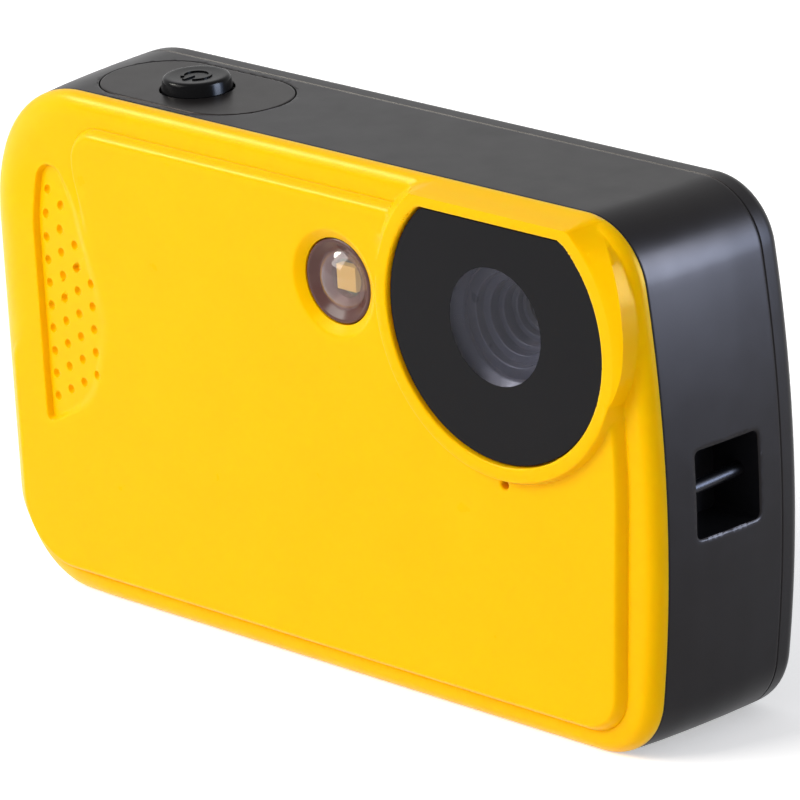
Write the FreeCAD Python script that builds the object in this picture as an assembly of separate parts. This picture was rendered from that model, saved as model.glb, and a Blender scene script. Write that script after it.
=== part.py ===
import FreeCAD, Part
import math
import os

# Compact waterproof digital camera. Millimetres, X to the viewer's right when facing the lens,
# Y from front to back, Z up. Origin: middle of the bottom face, in the middle of width and depth.
# Depths (names starting with D_) are measured backwards from the front of the lens rim.

V = FreeCAD.Vector

# Outer body
HALF_WIDTH = 53.6          # at the split between front shell and frame
HEIGHT = 65.0
SIDE_FLARE = 1.8           # how much wider each side is at the rear seam
MID_FLARE = 1.2            # the same, halfway back
SIDE_BOW = 3.0             # how far the lens side bows out at mid height
R_TOP_GRIP = 15.0
R_BOTTOM_GRIP = 11.0
R_TOP_LENS = 8.5
R_BOTTOM_LENS = 9.0
BASE_SKIM = 0.05           # shaved off flat under the body

D_PAD = 1.0                # raised middle of the front
D_BORDER = 2.2             # border round the raised middle
D_SPLIT = 4.2              # front shell meets frame
D_REAR = 25.2              # rear face of the cover
D_SEAM = D_REAR - 3.4      # frame meets rear cover
D_MID = (D_SPLIT + D_SEAM) / 2 - 0.5
KEY_PROUD = 0.8            # how far the rear keys stand out
TOTAL_DEPTH = D_REAR + KEY_PROUD
FRONT_EDGE_R = 1.9
REAR_EDGE_R = 2.6
WALL = 2.2
SKIN = 1.8                 # front and rear wall thickness

# Joint between shells: tongue, seal, ledge
FIT = 0.1
TONGUE = 1.2
FRONT_TONGUE_END = 5.6
SEAL_THICK = 0.6
LEDGE_THICK = 1.2
LEDGE_REACH = 2.2
REAR_TONGUE_END = D_SEAM - 2.0

# Raised pad on the front
PAD_TOP = HEIGHT - 4.7
PAD_BOTTOM = 3.9
PAD_LEFT = 3.2 - HALF_WIDTH
PAD_NOTCH_X = 14.8 - HALF_WIDTH
PAD_NOTCH_Z = HEIGHT - 10.0
PAD_STEP_Z = HEIGHT - 20.0
PAD_RIGHT = HALF_WIDTH - 6.4
PAD_DRAFT = 0.6

# Lens bezel and window
LENS_X = HALF_WIDTH - 21.9
LENS_Z = HEIGHT - 14.95
OPENING_R = 16.6
OPENING_TOP = HEIGHT - 2.5
RIM = 1.7
RIM_TOP = HEIGHT - 1.15
ROOF_LEFT = LENS_X - 10.4
ROOF_RIGHT = LENS_X + 13.5
BEZEL_BULGE = LENS_X + 18.6
WINDOW_SINK = 0.55
WINDOW_THICK = 1.2
WINDOW_GAP = 0.2
SEAT_WIDTH = 1.6

# Stepped light baffle behind the window: start of each step as a share of its length, hole radius
BAFFLE_STEPS = [(0.0, 7.0), (0.23, 5.6), (0.392, 4.5), (0.581, 3.7), (0.77, 2.95), (0.905, 2.5)]
D_MAIN = (D_REAR + 2.0) / 2
BAFFLE_LENGTH = D_MAIN - 6.2
BAFFLE_FLANGE_THICK = 1.0
BAFFLE_FUNNEL_LENGTH = 3.5
BAFFLE_WALL = 1.4
BAFFLE_FLANGE_R = 10.6
BARREL_R = 4.6
BARREL_LENGTH = 3.0
ELEMENT_R = 2.9
ELEMENT_THICK = 1.1
FRONT_BULGE = 0.7
REAR_BULGE = 0.4
BARREL_BORE_R = 1.4
FOOT_HALF = 5.6
FOOT_ROOM_HALF = 4.2
SENSOR_HALF_W = 3.6
SENSOR_HALF_H = 3.4
SENSOR_THICK = 0.9
FILTER_HALF_W = 2.9
FILTER_HALF_H = 2.7
FILTER_THICK = 0.3

# Lamp beside the lens
LAMP_X = LENS_X - 26.0
LAMP_Z = LENS_Z + 0.05
LAMP_R = 5.2
LAMP_DISH_R = 6.5
LAMP_DISH_DEPTH = 0.8
LAMP_HOLE_GAP = 0.1
DOME_R = 4.1
DOME_RISE = 1.1
DOME_FOOT = 0.7
DOME_BALL_R = 5.0
LAMP_LENGTH = 2.5
LAMP_CUP_EDGE = 0.6
LAMP_CUP_DEEP = 1.4
LAMP_THROAT_R = 2.4
LAMP_BOARD_THICK = 1.0
CHIP_HALF = 1.5
CHIP_THICK = 1.1

# Microphone hole
MIC_X = LENS_X - 0.2
MIC_Z = LENS_Z - 19.25
MIC_R = 0.6
SPEAKER_X = LENS_X + 0.3
SPEAKER_Z = 15.0
SPEAKER_R = 6.0
SPEAKER_THICK = 3.0
SPEAKER_CONE = 0.6
MIC_CAN_R = 2.5
MIC_CAN_LENGTH = 1.3

# Grip recess with its dimples
GRIP_LEFT = 9.0 - HALF_WIDTH
GRIP_TOP = HEIGHT - 9.4
GRIP_BOTTOM = 21.8
GRIP_RIGHT = GRIP_LEFT + 11.4
GRIP_DEPTH = 1.25
DIMPLE_R = 0.47
DIMPLE_DEPTH = 0.7
DIMPLE_X = GRIP_LEFT + 0.9
DIMPLE_Z = GRIP_TOP - 3.6
DIMPLE_PITCH_X = 2.35
DIMPLE_PITCH_Z = (GRIP_TOP - GRIP_BOTTOM - 7.43) / 9
DIMPLE_COLUMNS = [(10, 0.0), (9, 0.5), (7, 2.0), (5, 3.5)]

# Shutter release on its plate
BUTTON_X = 26.05 - HALF_WIDTH
D_BUTTON = 12.95
PLATE_LENGTH = 27.1
PLATE_WIDTH = D_SEAM - D_SPLIT - 2.6
PLATE_THICK = 1.6
PLATE_GAP = 0.15
BUTTON_R = 4.15
BUTTON_FOOT_R = 4.35
BUTTON_RISE = 1.6
BUTTON_TRAVEL = 0.8
BUTTON_GAP = 0.2
BUTTON_SKIRT = 1.1
STEM_R = 1.5
STEM_GAP = 0.05
SPRING_R = 2.6
SPRING_WIRE_R = 0.22
SPRING_TURNS = 3.5
CLIP_THICK = 0.5
CLIP_R = 2.6
SWITCH_RIB_X = 6.0
SWITCH_BOARD_GAP = 0.85    # from the small board to the key board behind it

# Strap bar in its pocket on the lens side
SLOT_Z = HEIGHT / 2 - 0.4
SLOT_HEIGHT = 10.7
SLOT_WIDTH = D_SEAM - D_SPLIT - 7.2
D_SLOT = (D_SPLIT + D_SEAM) / 2
SLOT_DEEP = 7.2
SLOT_WALL = 0.95
SLOT_R = 0.8
BAR_R = 0.8
BAR_X = HALF_WIDTH - 1.6  # Side door over cells, card and socket, on the grip side
DOOR_PLANE = 1.1 - HALF_WIDTH
DOOR_GAP = 0.2
D_DOOR_FRONT = 6.2
D_DOOR_BACK = D_SEAM - 2.6
DOOR_BOTTOM = 10.8
DOOR_TOP = HEIGHT - 15.5
BAY_FRONT = 7.4
BAY_BACK = D_SEAM - 3.6
BAY_BOTTOM = 11.4
BAY_TOP = DOOR_TOP - 2.9
BAY_WALL_X = WALL + LEDGE_REACH - HALF_WIDTH
PLUG_GAP = 0.55
PLUG_DEEP = 1.7
DOOR_SEAL = 0.9
SEAL_PROUD = 0.25
HINGE_X = 1.0 - HALF_WIDTH
HINGE_Z = 9.2
KNUCKLE_R = 1.4
HINGE_PIN_R = 0.6
HINGE_PIN_GAP = 0.06
KNUCKLE_LENGTH = 2.4
HINGE_RELIEF = 3.7
LATCH_WIDTH = 5.0
LATCH_THICK = 1.2
LATCH_FLOOR = 0.9
LATCH_LENGTH = 9.6
LATCH_TONGUE = 4.6
LATCH_TONGUE_THICK = 0.55
LATCH_TRAVEL = 2.0
LATCH_GAP = 0.3
LATCH_WING = 0.6

# Two small round cells in their tray
CELL_ROOM = 0.15
CELL_R = (BAY_BACK - BAY_FRONT) / 2 - CELL_ROOM
CELL_LENGTH = 44.5
CELL_CAP_R = 1.9
CELL_CAP = 0.8
D_CELL = (BAY_FRONT + BAY_BACK) / 2
CELL_PITCH = 2 * CELL_R + 0.5
CELL_LOW_Z = BAY_TOP - CELL_PITCH - CELL_R - 1.15
CELL_LEFT = 4.7 - HALF_WIDTH
TRAY_WALL = 0.7
TRAY_SLACK = 0.2
CONTACT_ROOM = 2.2
CONTACT_HALF = 4.0
CONTACT_THICK = 0.4

# Boards
BOARD_THICK = 1.0
MAIN_LEFT = CELL_LEFT + CELL_LENGTH + CONTACT_ROOM + TRAY_WALL + 1.9
MAIN_RIGHT = HALF_WIDTH - 11.2
MAIN_BOTTOM = 5.6
# Chips on the main board: left, right, low and high edge as shares of the board, thickness
CHIPS = [
    (0.37, 0.66, 0.37, 0.59, 1.2),
    (0.18, 0.32, 0.45, 0.59, 1.0),
    (0.70, 0.82, 0.41, 0.56, 1.0),
    (0.47, 0.59, 0.70, 0.77, 0.9),
]
MAIN_TOP = HEIGHT - 4.6
D_KEY_BOARD = D_REAR - 6.0
KEY_BOARD_THICK = 0.8
KEY_BOARD_LEFT = 5.2 - HALF_WIDTH
KEY_BOARD_RIGHT = 36.6 - HALF_WIDTH
CROSS_X = 17.6 - HALF_WIDTH  # middle of the four direction keys
CROSS_Z = 0.4 * HEIGHT
KEY_BOARD_BOTTOM = CROSS_Z - 12.6
KEY_BOARD_TOP = HEIGHT - 6.8
KEY_MAT_THICK = 0.8
KEY_BOARD_PEGS = [(CROSS_X - 2.5, HEIGHT - 18.4), (CROSS_X + 16.4, CROSS_Z + 7.0), (CROSS_X - 7.8,
                                                                                    CROSS_Z - 7.4)]
DOME_KEY_R = 2.0
DOME_KEY_THICK = 0.3
D_IO = BAY_BACK - 3.6
IO_RIGHT = 31.6 - HALF_WIDTH
IO_BOTTOM = 11.8
IO_TOP = CELL_LOW_Z - CELL_R - 1.55
IO_HEIGHT = IO_TOP - IO_BOTTOM
SOCKET_LENGTH = 5.6
SOCKET_THICK = 2.7
SOCKET_SHEET = 0.4
SOCKET_MARGIN = 0.15       # of the side board's height, below and above the data socket
SOCKET_TONGUE_THICK = 0.5
CARD_LENGTH = 15.0
CARD_THICK = 1.0
CARD_SHEET = 0.4
CARD_OVERHANG = 0.2

# Screen
SCREEN_LEFT = KEY_BOARD_RIGHT + 2.9
SCREEN_RIGHT = HALF_WIDTH - 9.1
SCREEN_X = (SCREEN_LEFT + SCREEN_RIGHT) / 2
SCREEN_Z = HEIGHT / 2 + 0.1
SCREEN_WIDTH = SCREEN_RIGHT - SCREEN_LEFT
SCREEN_HEIGHT = HEIGHT - 23.4
SCREEN_THICK = 2.3
SCREEN_VIEW_W = SCREEN_WIDTH - 8.6
SCREEN_VIEW_H = SCREEN_HEIGHT - 3.6
SCREEN_PANE_RIM = 3.0
SCREEN_PANE_THICK = 1.0
PANE_GAP = 0.1
CARRIER_THICK = 0.8
CARRIER_RIM = 4.0
CARRIER_POST_R = 1.1
FLEX_HALF = 7.0
FLEX_THICK = 0.2
FLEX_TAB = 5.0

# Rear keys: name, X, Z, radius
KEYS = [
    ("power_button", CROSS_X + 14.2, HEIGHT - 16.0, 3.0),
    ("playback_button", CROSS_X - 9.0, HEIGHT - 24.0, 2.9),
    ("menu_button", CROSS_X + 9.0, HEIGHT - 24.0, 2.9),
    ("up_button", CROSS_X, CROSS_Z + 8.2, 2.6),
    ("down_button", CROSS_X, CROSS_Z - 8.2, 2.6),
    ("left_button", CROSS_X - 8.2, CROSS_Z, 2.6),
    ("right_button", CROSS_X + 8.2, CROSS_Z, 2.6),
    ("ok_button", CROSS_X, CROSS_Z, 3.4),
]
KEY_TRAVEL = 0.5
KEY_GAP = 0.25
KEY_FLANGE = 0.7
KEY_FLANGE_THICK = 0.8
KEY_PLUNGER_R = 1.2
KEY_EDGE = 0.4
ROCKER_X = 19.6 - HALF_WIDTH
ROCKER_Z = HEIGHT - 10.7
ROCKER_LENGTH = 13.0
ROCKER_WIDTH = 5.6
ROCKER_PIN_R = 0.5
ROCKER_PIN_GAP = 0.06
ROCKER_GAP = 0.6

# Case screws on their posts: X, Z
POSTS = [
    (7.6 - HALF_WIDTH, HEIGHT - 14.0),
    (38.0 - HALF_WIDTH, HEIGHT - 6.8),
    (HALF_WIDTH - 8.2, HEIGHT - 8.4),
    (HALF_WIDTH - 8.0, 8.8),
    (38.0 - HALF_WIDTH, 6.4),
    (9.3 - HALF_WIDTH, 8.2),
]
POST_R = 2.6
D_POST = D_REAR - 9.2
SCREW_R = 0.95
SCREW_HEAD_R = 1.8
SCREW_HEAD = 1.2
SCREW_LENGTH = 14.0
SCREW_SINK = 0.3

# Tripod socket, quarter inch by 20 threads, at its minor radius
TRIPOD_X = 0.0
TRIPOD_R = 2.55
TRIPOD_LENGTH = 5.4
TRIPOD_OUTER_R = 4.2
TRIPOD_FLANGE_R = 5.6
TRIPOD_BOSS_WALL = 0.57 * (D_MID - FRONT_TONGUE_END - SEAL_THICK - TRIPOD_OUTER_R)

# Main board's screws: X, Z, the first one beside the tripod socket's flange
BOARD_POST_R = 2.0
BOARD_SCREW_R = 0.7
BOARD_SCREW_HEAD_R = 1.4
BOARD_SCREW_HEAD = 0.8
BOARD_SCREW_LENGTH = 4.0
BOARD_SCREWS = [
    (TRIPOD_X + TRIPOD_FLANGE_R + BOARD_POST_R + 1.4, 9.0),
    (MAIN_RIGHT - 2.0, SLOT_Z - 5.1),
    (MAIN_LEFT + 2.6, HEIGHT - 7.4),
]


def y_at(depth):
    """Y of a depth measured from the front of the lens rim."""
    return depth - TOTAL_DEPTH / 2


def box(x0, x1, d0, d1, z0, z1):
    return Part.makeBox(x1 - x0, d1 - d0, z1 - z0, V(x0, y_at(d0), z0))


def rod_y(x, z, r, d0, d1):
    return Part.makeCylinder(r, d1 - d0, V(x, y_at(d0), z), V(0, 1, 0))


def rod_z(x, d, r, z0, z1):
    return Part.makeCylinder(r, z1 - z0, V(x, y_at(d), z0), V(0, 0, 1))


def rod_x(d, z, r, x0, x1):
    return Part.makeCylinder(r, x1 - x0, V(x0, y_at(d), z), V(1, 0, 0))


def cone_y(x, z, r0, r1, d0, d1):
    return Part.makeCone(r0, r1, d1 - d0, V(x, y_at(d0), z), V(0, 1, 0))


def tube_y(x, z, r_out, r_in, d0, d1):
    return rod_y(x, z, r_out, d0, d1).cut(rod_y(x, z, r_in, d0, d1))


def rounded_box(x0, x1, d0, d1, z0, z1, r):
    """A box whose four edges along Y are rounded."""
    solid = box(x0, x1, d0, d1, z0, z1)
    edges = [e for e in solid.Edges if abs(e.tangentAt(e.FirstParameter).y) > 0.9]
    return solid.makeFillet(r, edges)


def arc(a, b, c):
    return Part.Arc(a, b, c).toShape()


def line(a, b):
    return Part.LineSegment(a, b).toShape()


def corner(cx, cz, r, start, end, y):
    """Arc round a centre between two angles in degrees, in the XZ plane."""
    points = []
    for angle in (start, (start + end) / 2, end):
        a = math.radians(angle)
        points.append(V(cx + r * math.cos(a), y, cz + r * math.sin(a)))
    return arc(*points), points[0], points[2]


def outline(depth, inset=0.0, flare=0.0):
    """The body's closed outline at a depth: straight grip side, bowed lens side, four corner radii."""
    y = y_at(depth)
    left = -(HALF_WIDTH + flare) + inset
    top = HEIGHT - inset
    bottom = -BASE_SKIM + inset
    middle = HEIGHT / 2
    bow_r = (middle ** 2 + SIDE_BOW ** 2) / (2 * SIDE_BOW)
    bow_x = HALF_WIDTH + flare - bow_r
    bow_r = bow_r - inset
    r_tl = R_TOP_GRIP - inset
    r_bl = R_BOTTOM_GRIP - inset
    r_tr = R_TOP_LENS - inset
    r_br = R_BOTTOM_LENS - inset
    rise_t = top - r_tr - middle
    rise_b = bottom + r_br - middle
    tr_x = bow_x + math.sqrt((bow_r - r_tr) ** 2 - rise_t ** 2)
    br_x = bow_x + math.sqrt((bow_r - r_br) ** 2 - rise_b ** 2)
    angle_t = math.degrees(math.atan2(rise_t, tr_x - bow_x))
    angle_b = math.degrees(math.atan2(rise_b, br_x - bow_x))
    tl, tl_start, tl_end = corner(left + r_tl, top - r_tl, r_tl, 180, 90, y)
    tr, tr_start, tr_end = corner(tr_x, top - r_tr, r_tr, 90, angle_t, y)
    bow, bow_start, bow_end = corner(bow_x, middle, bow_r, angle_t, angle_b, y)
    br, br_start, br_end = corner(br_x, bottom + r_br, r_br, angle_b, -90, y)
    bl, bl_start, bl_end = corner(left + r_bl, bottom + r_bl, r_bl, 270, 180, y)
    edges = [tl, line(tl_end, tr_start), tr, bow, br, line(br_end, bl_start), bl, line(bl_end, tl_start)]
    return Part.Wire(edges)


def slab(d0, d1, inset=0.0, flare=0.0):
    """The body's outline as a solid between two depths."""
    return Part.Face(outline(d0, inset, flare)).extrude(V(0, d1 - d0, 0))


def ring(d0, d1, inset_out, inset_in, flare=0.0):
    return slab(d0, d1, inset_out, flare).cut(slab(d0, d1, inset_in, flare))


def polygon_prism(points, d0, d1):
    """Prism along Y from a closed polygon of (x, z) points."""
    corners = [V(x, y_at(d0), z) for x, z in points]
    return Part.Face(Part.makePolygon(corners + [corners[0]])).extrude(V(0, d1 - d0, 0))


def flat_base(solid):
    """Cuts the solid flat at the floor."""
    floor = box(-2 * HALF_WIDTH, 2 * HALF_WIDTH, -1, TOTAL_DEPTH + 1, -5, 0)
    return solid.cut(floor)


def is_at(edge, depth):
    return all(abs(v.Point.y - y_at(depth)) < 1e-4 for v in edge.Vertexes)


# Front shell

def rounded_wire(points, depth):
    """Closed wire of lines and arcs in the XZ plane from (x, z, corner radius) points."""
    y = y_at(depth)
    starts = []
    ends = []
    for i, (x, z, r) in enumerate(points):
        here = V(x, y, z)
        before = V(points[i - 1][0], y, points[i - 1][1]).sub(here).normalize()
        after = V(points[(i + 1) % len(points)][0], y,
                  points[(i + 1) % len(points)][1]).sub(here).normalize()
        half = before.getAngle(after) / 2
        reach = r / math.tan(half)
        middle = before.add(after).normalize().multiply(r / math.sin(half) - r)
        starts.append((here.add(V(before).multiply(reach)), here.add(middle)))
        ends.append(here.add(V(after).multiply(reach)))
    edges = []
    for i, (start, middle) in enumerate(starts):
        edges.append(arc(start, middle, ends[i]))
        edges.append(line(ends[i], starts[(i + 1) % len(starts)][0]))
    return Part.Wire(edges)


def pad_outline(depth, grow):
    """Closed outline of the raised pad. The grip side steps in above the grip."""
    return rounded_wire([
        (PAD_LEFT - grow, PAD_BOTTOM - grow, 7.5 + grow),
        (PAD_LEFT - grow, PAD_STEP_Z + grow, 2.0),
        (PAD_NOTCH_X - grow, PAD_NOTCH_Z + grow, 2.5),
        (PAD_NOTCH_X - grow, PAD_TOP + grow, 4.0),
        (PAD_RIGHT - 1.4 + grow, PAD_TOP + grow, 3.0),
        (PAD_RIGHT + grow, HEIGHT / 2, 60.0),
        (PAD_RIGHT - 1.8 + grow, PAD_BOTTOM - grow, 3.5 + grow),
    ], depth)


def raised_pad():
    low = D_BORDER + 0.3
    slope = PAD_DRAFT * (low - D_PAD) / (D_BORDER - D_PAD)
    return Part.makeLoft([pad_outline(D_PAD, 0.0), pad_outline(low, slope)], True, True)


def bezel_wire(depth, r, top, left, right, bulge):
    """Circle cut by a level top, whose lens side can bulge to a given X."""
    y = y_at(depth)
    bottom = V(LENS_X, y, LENS_Z - r)
    top_left = V(left, y, top)
    top_right = V(right, y, top)
    side_left = V(LENS_X - r, y, LENS_Z)
    side_right = V(bulge, y, LENS_Z - 1.0)
    return Part.Wire([arc(top_left, side_left, bottom), arc(bottom, side_right, top_right),
                      line(top_right, top_left)])


def lens_bezel():
    """The raised rim and the roof that runs from it up to the top edge."""
    rim_r = OPENING_R + RIM
    chord = math.sqrt(rim_r ** 2 - (RIM_TOP - LENS_Z) ** 2)
    front = bezel_wire(0.0, rim_r, RIM_TOP, LENS_X - chord, LENS_X + chord, LENS_X + rim_r)
    back = bezel_wire(D_SPLIT, rim_r + 0.3, HEIGHT, ROOF_LEFT, ROOF_RIGHT, BEZEL_BULGE + 0.4)
    return Part.makeLoft([front, back], True, True)


def window_shape(depth, thick, gap):
    """The lens window's shape: a disc cut level at the top."""
    disc = rod_y(LENS_X, LENS_Z, OPENING_R - gap, depth, depth + thick)
    over = box(LENS_X - 30, LENS_X + 30, depth - 1, depth + thick + 1, OPENING_TOP - gap, HEIGHT + 10)
    return disc.cut(over)


def grip_recess():
    """Leaf-shaped recess, deep at the grip side and running out towards the middle."""
    y = y_at(0)
    a = V(GRIP_LEFT, y, GRIP_BOTTOM)
    b = V(GRIP_LEFT, y, GRIP_TOP - 2.0)
    c = V(GRIP_LEFT + 2.2, y, GRIP_TOP - 1.0)
    d = V(GRIP_RIGHT, y, (GRIP_TOP + GRIP_BOTTOM) / 2 - 2.0)
    edges = [
        line(a, b),
        arc(b, V(GRIP_LEFT + 0.8, y, GRIP_TOP), c),
        arc(c, V(GRIP_LEFT + 8.0, y, GRIP_TOP - 8.0), d),
        arc(d, V(GRIP_LEFT + 9.2, y, GRIP_BOTTOM + 5.5), a),
    ]
    leaf = Part.Face(Part.Wire(edges)).extrude(V(0, D_PAD + GRIP_DEPTH + 1, 0))
    low = GRIP_BOTTOM - 2
    side = Part.makePolygon([
        V(GRIP_LEFT - 1, y, low),
        V(GRIP_RIGHT + 1, y, low),
        V(GRIP_RIGHT + 1, y_at(D_PAD), low),
        V(GRIP_LEFT - 1, y_at(D_PAD + GRIP_DEPTH), low),
        V(GRIP_LEFT - 1, y, low),
    ])
    wedge = Part.Face(side).extrude(V(0, 0, GRIP_TOP - GRIP_BOTTOM + 4))
    return leaf.common(wedge)


def dimple_depth(x):
    """Depth of the grip's sloping floor at an X."""
    share = (GRIP_RIGHT + 1 - x) / (GRIP_RIGHT - GRIP_LEFT + 2)
    return D_PAD + GRIP_DEPTH * share


def dimples():
    holes = []
    for column, (count, start) in enumerate(DIMPLE_COLUMNS):
        x = DIMPLE_X + column * DIMPLE_PITCH_X
        floor = dimple_depth(x)
        for row in range(count):
            z = DIMPLE_Z - (start + row) * DIMPLE_PITCH_Z
            holes.append(rod_y(x, z, DIMPLE_R, floor - 0.3, floor + DIMPLE_DEPTH))
    return Part.makeCompound(holes)


def front_shell():
    border = slab(D_BORDER, D_SPLIT)
    border = border.makeFillet(FRONT_EDGE_R, [e for e in border.Edges if is_at(e, D_BORDER)])
    shell = border.fuse([raised_pad(), lens_bezel()])
    shell = shell.cut(slab(D_BORDER + SKIN, D_SPLIT + 1, WALL))
    inner_pad = box(GRIP_RIGHT + 2.5, ROOF_LEFT - 4.5, D_PAD + SKIN, D_SPLIT + 1, PAD_BOTTOM + 2,
                    PAD_TOP - 2)
    low_pad = box(GRIP_RIGHT + 2.5, PAD_RIGHT - 3.5, D_PAD + SKIN, D_SPLIT + 1, PAD_BOTTOM + 3, MIC_Z - 3)
    shell = shell.cut([inner_pad, low_pad])
    shell = shell.fuse(ring(D_BORDER + 1, FRONT_TONGUE_END, WALL + FIT, WALL + FIT + TONGUE))
    for x, z in POSTS:
        shell = shell.fuse(rod_y(x, z, POST_R, D_BORDER + 1, D_POST))
    seat_back = D_SPLIT
    seat = window_shape(D_BORDER, seat_back - D_BORDER, -RIM)
    shell = shell.fuse(seat)
    shell = shell.cut(window_shape(-1, 1 + WINDOW_SINK + WINDOW_THICK, 0.0))
    shell = shell.cut(window_shape(0, seat_back + 1, SEAT_WIDTH))
    lamp_boss = rod_y(LAMP_X, LAMP_Z, LAMP_R + 1.2, D_PAD + 1, D_SPLIT + 2)
    shell = shell.fuse(lamp_boss)
    dish = cone_y(LAMP_X, LAMP_Z, LAMP_DISH_R, LAMP_R + LAMP_HOLE_GAP, D_PAD, D_PAD + LAMP_DISH_DEPTH)
    bore = rod_y(LAMP_X, LAMP_Z, LAMP_R + LAMP_HOLE_GAP, 0, D_SPLIT + 3)
    shell = shell.cut([dish, bore])
    mic_boss = rod_y(MIC_X, MIC_Z, 3.4, D_PAD + 1, D_SPLIT)
    shell = shell.fuse(mic_boss)
    shell = shell.cut([rod_y(MIC_X, MIC_Z, MIC_R, 0, D_SPLIT), rod_y(MIC_X, MIC_Z, MIC_CAN_R + 0.1,
                                                                     D_PAD + SKIN, D_SPLIT)])
    shell = shell.cut(grip_recess()).cut(dimples())
    for x, z in POSTS:
        shell = shell.cut(rod_y(x, z, SCREW_R + 0.03,
                                D_REAR - SCREW_SINK - SCREW_HEAD - SCREW_LENGTH - 1, D_POST))
    return flat_base(shell).removeSplitter()


# Frame between the shells

def frame_outside():
    sections = [outline(D_SPLIT), outline(D_MID, 0.0, MID_FLARE), outline(D_SEAM, 0.0, SIDE_FLARE)]
    return Part.makeLoft(sections, True, False)


def plate_shape(grow, z0, z1):
    """Stadium of the shutter plate."""
    r = PLATE_WIDTH / 2 + grow
    half = (PLATE_LENGTH - PLATE_WIDTH) / 2
    ends = [rod_z(BUTTON_X - half, D_BUTTON, r, z0, z1), rod_z(BUTTON_X + half, D_BUTTON, r, z0, z1)]
    middle = box(BUTTON_X - half, BUTTON_X + half, D_BUTTON - r, D_BUTTON + r, z0, z1)
    return middle.fuse(ends).removeSplitter()


def strap_pocket(frame):
    half_z = SLOT_HEIGHT / 2
    half_d = SLOT_WIDTH / 2
    outer_x = HALF_WIDTH + SIDE_FLARE
    floor_x = outer_x - SLOT_DEEP
    block = box(floor_x - SLOT_WALL, HALF_WIDTH - 1.0, D_SLOT - half_d - SLOT_WALL,
                D_SLOT + half_d + SLOT_WALL,
                SLOT_Z - half_z - SLOT_WALL, SLOT_Z + half_z + SLOT_WALL)
    pocket = box(floor_x, outer_x + 2, D_SLOT - half_d, D_SLOT + half_d, SLOT_Z - half_z, SLOT_Z + half_z)
    rounded = [e for e in pocket.Edges if abs(e.tangentAt(e.FirstParameter).x) > 0.9]
    pocket = pocket.makeFillet(SLOT_R, rounded)
    bore = rod_y(BAR_X, SLOT_Z, BAR_R, D_SLOT - half_d - SLOT_WALL / 2, D_SLOT + half_d + SLOT_WALL / 2)
    return frame.fuse(block).cut([pocket, bore])


def strap_bar():
    half_d = SLOT_WIDTH / 2
    return rod_y(BAR_X, SLOT_Z, BAR_R, D_SLOT - half_d - SLOT_WALL / 2, D_SLOT + half_d + SLOT_WALL / 2)


def door_space(grow):
    """The side door's plate volume, cut later to the body's side surface."""
    return box(-2 * HALF_WIDTH, DOOR_PLANE + (DOOR_GAP if grow else 0.0), D_DOOR_FRONT - grow,
               D_DOOR_BACK + grow,
               DOOR_BOTTOM - grow, DOOR_TOP + grow)


def keeper():
    """Closed pocket above the door that the latch's tongue slides into, behind the frame's skin."""
    half = LATCH_WIDTH / 2 + LATCH_GAP
    inner = DOOR_PLANE - LATCH_FLOOR + LATCH_GAP
    outer = latch_back() - LATCH_TONGUE_THICK - 0.2
    return box(outer, inner, D_CELL - half, D_CELL + half, DOOR_TOP,
               DOOR_TOP + LATCH_TRAVEL + 2 * LATCH_GAP)


def latch_back():
    """X of the latch's inner face, just off the floor of its channel."""
    return DOOR_PLANE - LATCH_FLOOR - 0.1


def frame_knuckles():
    front = rod_y(HINGE_X, HINGE_Z, KNUCKLE_R, D_DOOR_FRONT, D_DOOR_FRONT + KNUCKLE_LENGTH)
    back = rod_y(HINGE_X, HINGE_Z, KNUCKLE_R, D_DOOR_BACK - KNUCKLE_LENGTH, D_DOOR_BACK)
    lugs = []
    for d in (D_DOOR_FRONT, D_DOOR_BACK - KNUCKLE_LENGTH):
        lugs.append(box(HINGE_X, BAY_WALL_X - 1, d, d + KNUCKLE_LENGTH, HINGE_Z - KNUCKLE_R,
                        HINGE_Z + KNUCKLE_R))
    return front.fuse([back] + lugs)


def side_bay(frame):
    """Door seat, opening, hinge and keeper on the grip side."""
    block = box(-HALF_WIDTH + WALL - 0.5, BAY_WALL_X, FRONT_TONGUE_END + SEAL_THICK,
                REAR_TONGUE_END - SEAL_THICK,
                HINGE_Z - 2.6, DOOR_TOP)
    frame = frame.fuse(block.common(slab(D_SPLIT, D_SEAM, WALL - 0.5)))
    frame = frame.cut(door_space(DOOR_GAP))
    frame = frame.cut(box(-2 * HALF_WIDTH, BAY_WALL_X + 1, BAY_FRONT, BAY_BACK, BAY_BOTTOM, BAY_TOP))
    relief = rod_y(HINGE_X, HINGE_Z, HINGE_RELIEF, D_DOOR_FRONT - DOOR_GAP, D_DOOR_BACK + DOOR_GAP)
    outside = box(-2 * HALF_WIDTH, HINGE_X + 0.3, 0, D_SEAM, 0, DOOR_BOTTOM)
    frame = frame.cut(relief.common(outside))
    groove = rod_y(HINGE_X, HINGE_Z, KNUCKLE_R + 0.3, D_DOOR_FRONT, D_DOOR_BACK)
    frame = frame.cut(groove).fuse(frame_knuckles())
    return frame.cut([door_pin(), keeper()])


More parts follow.
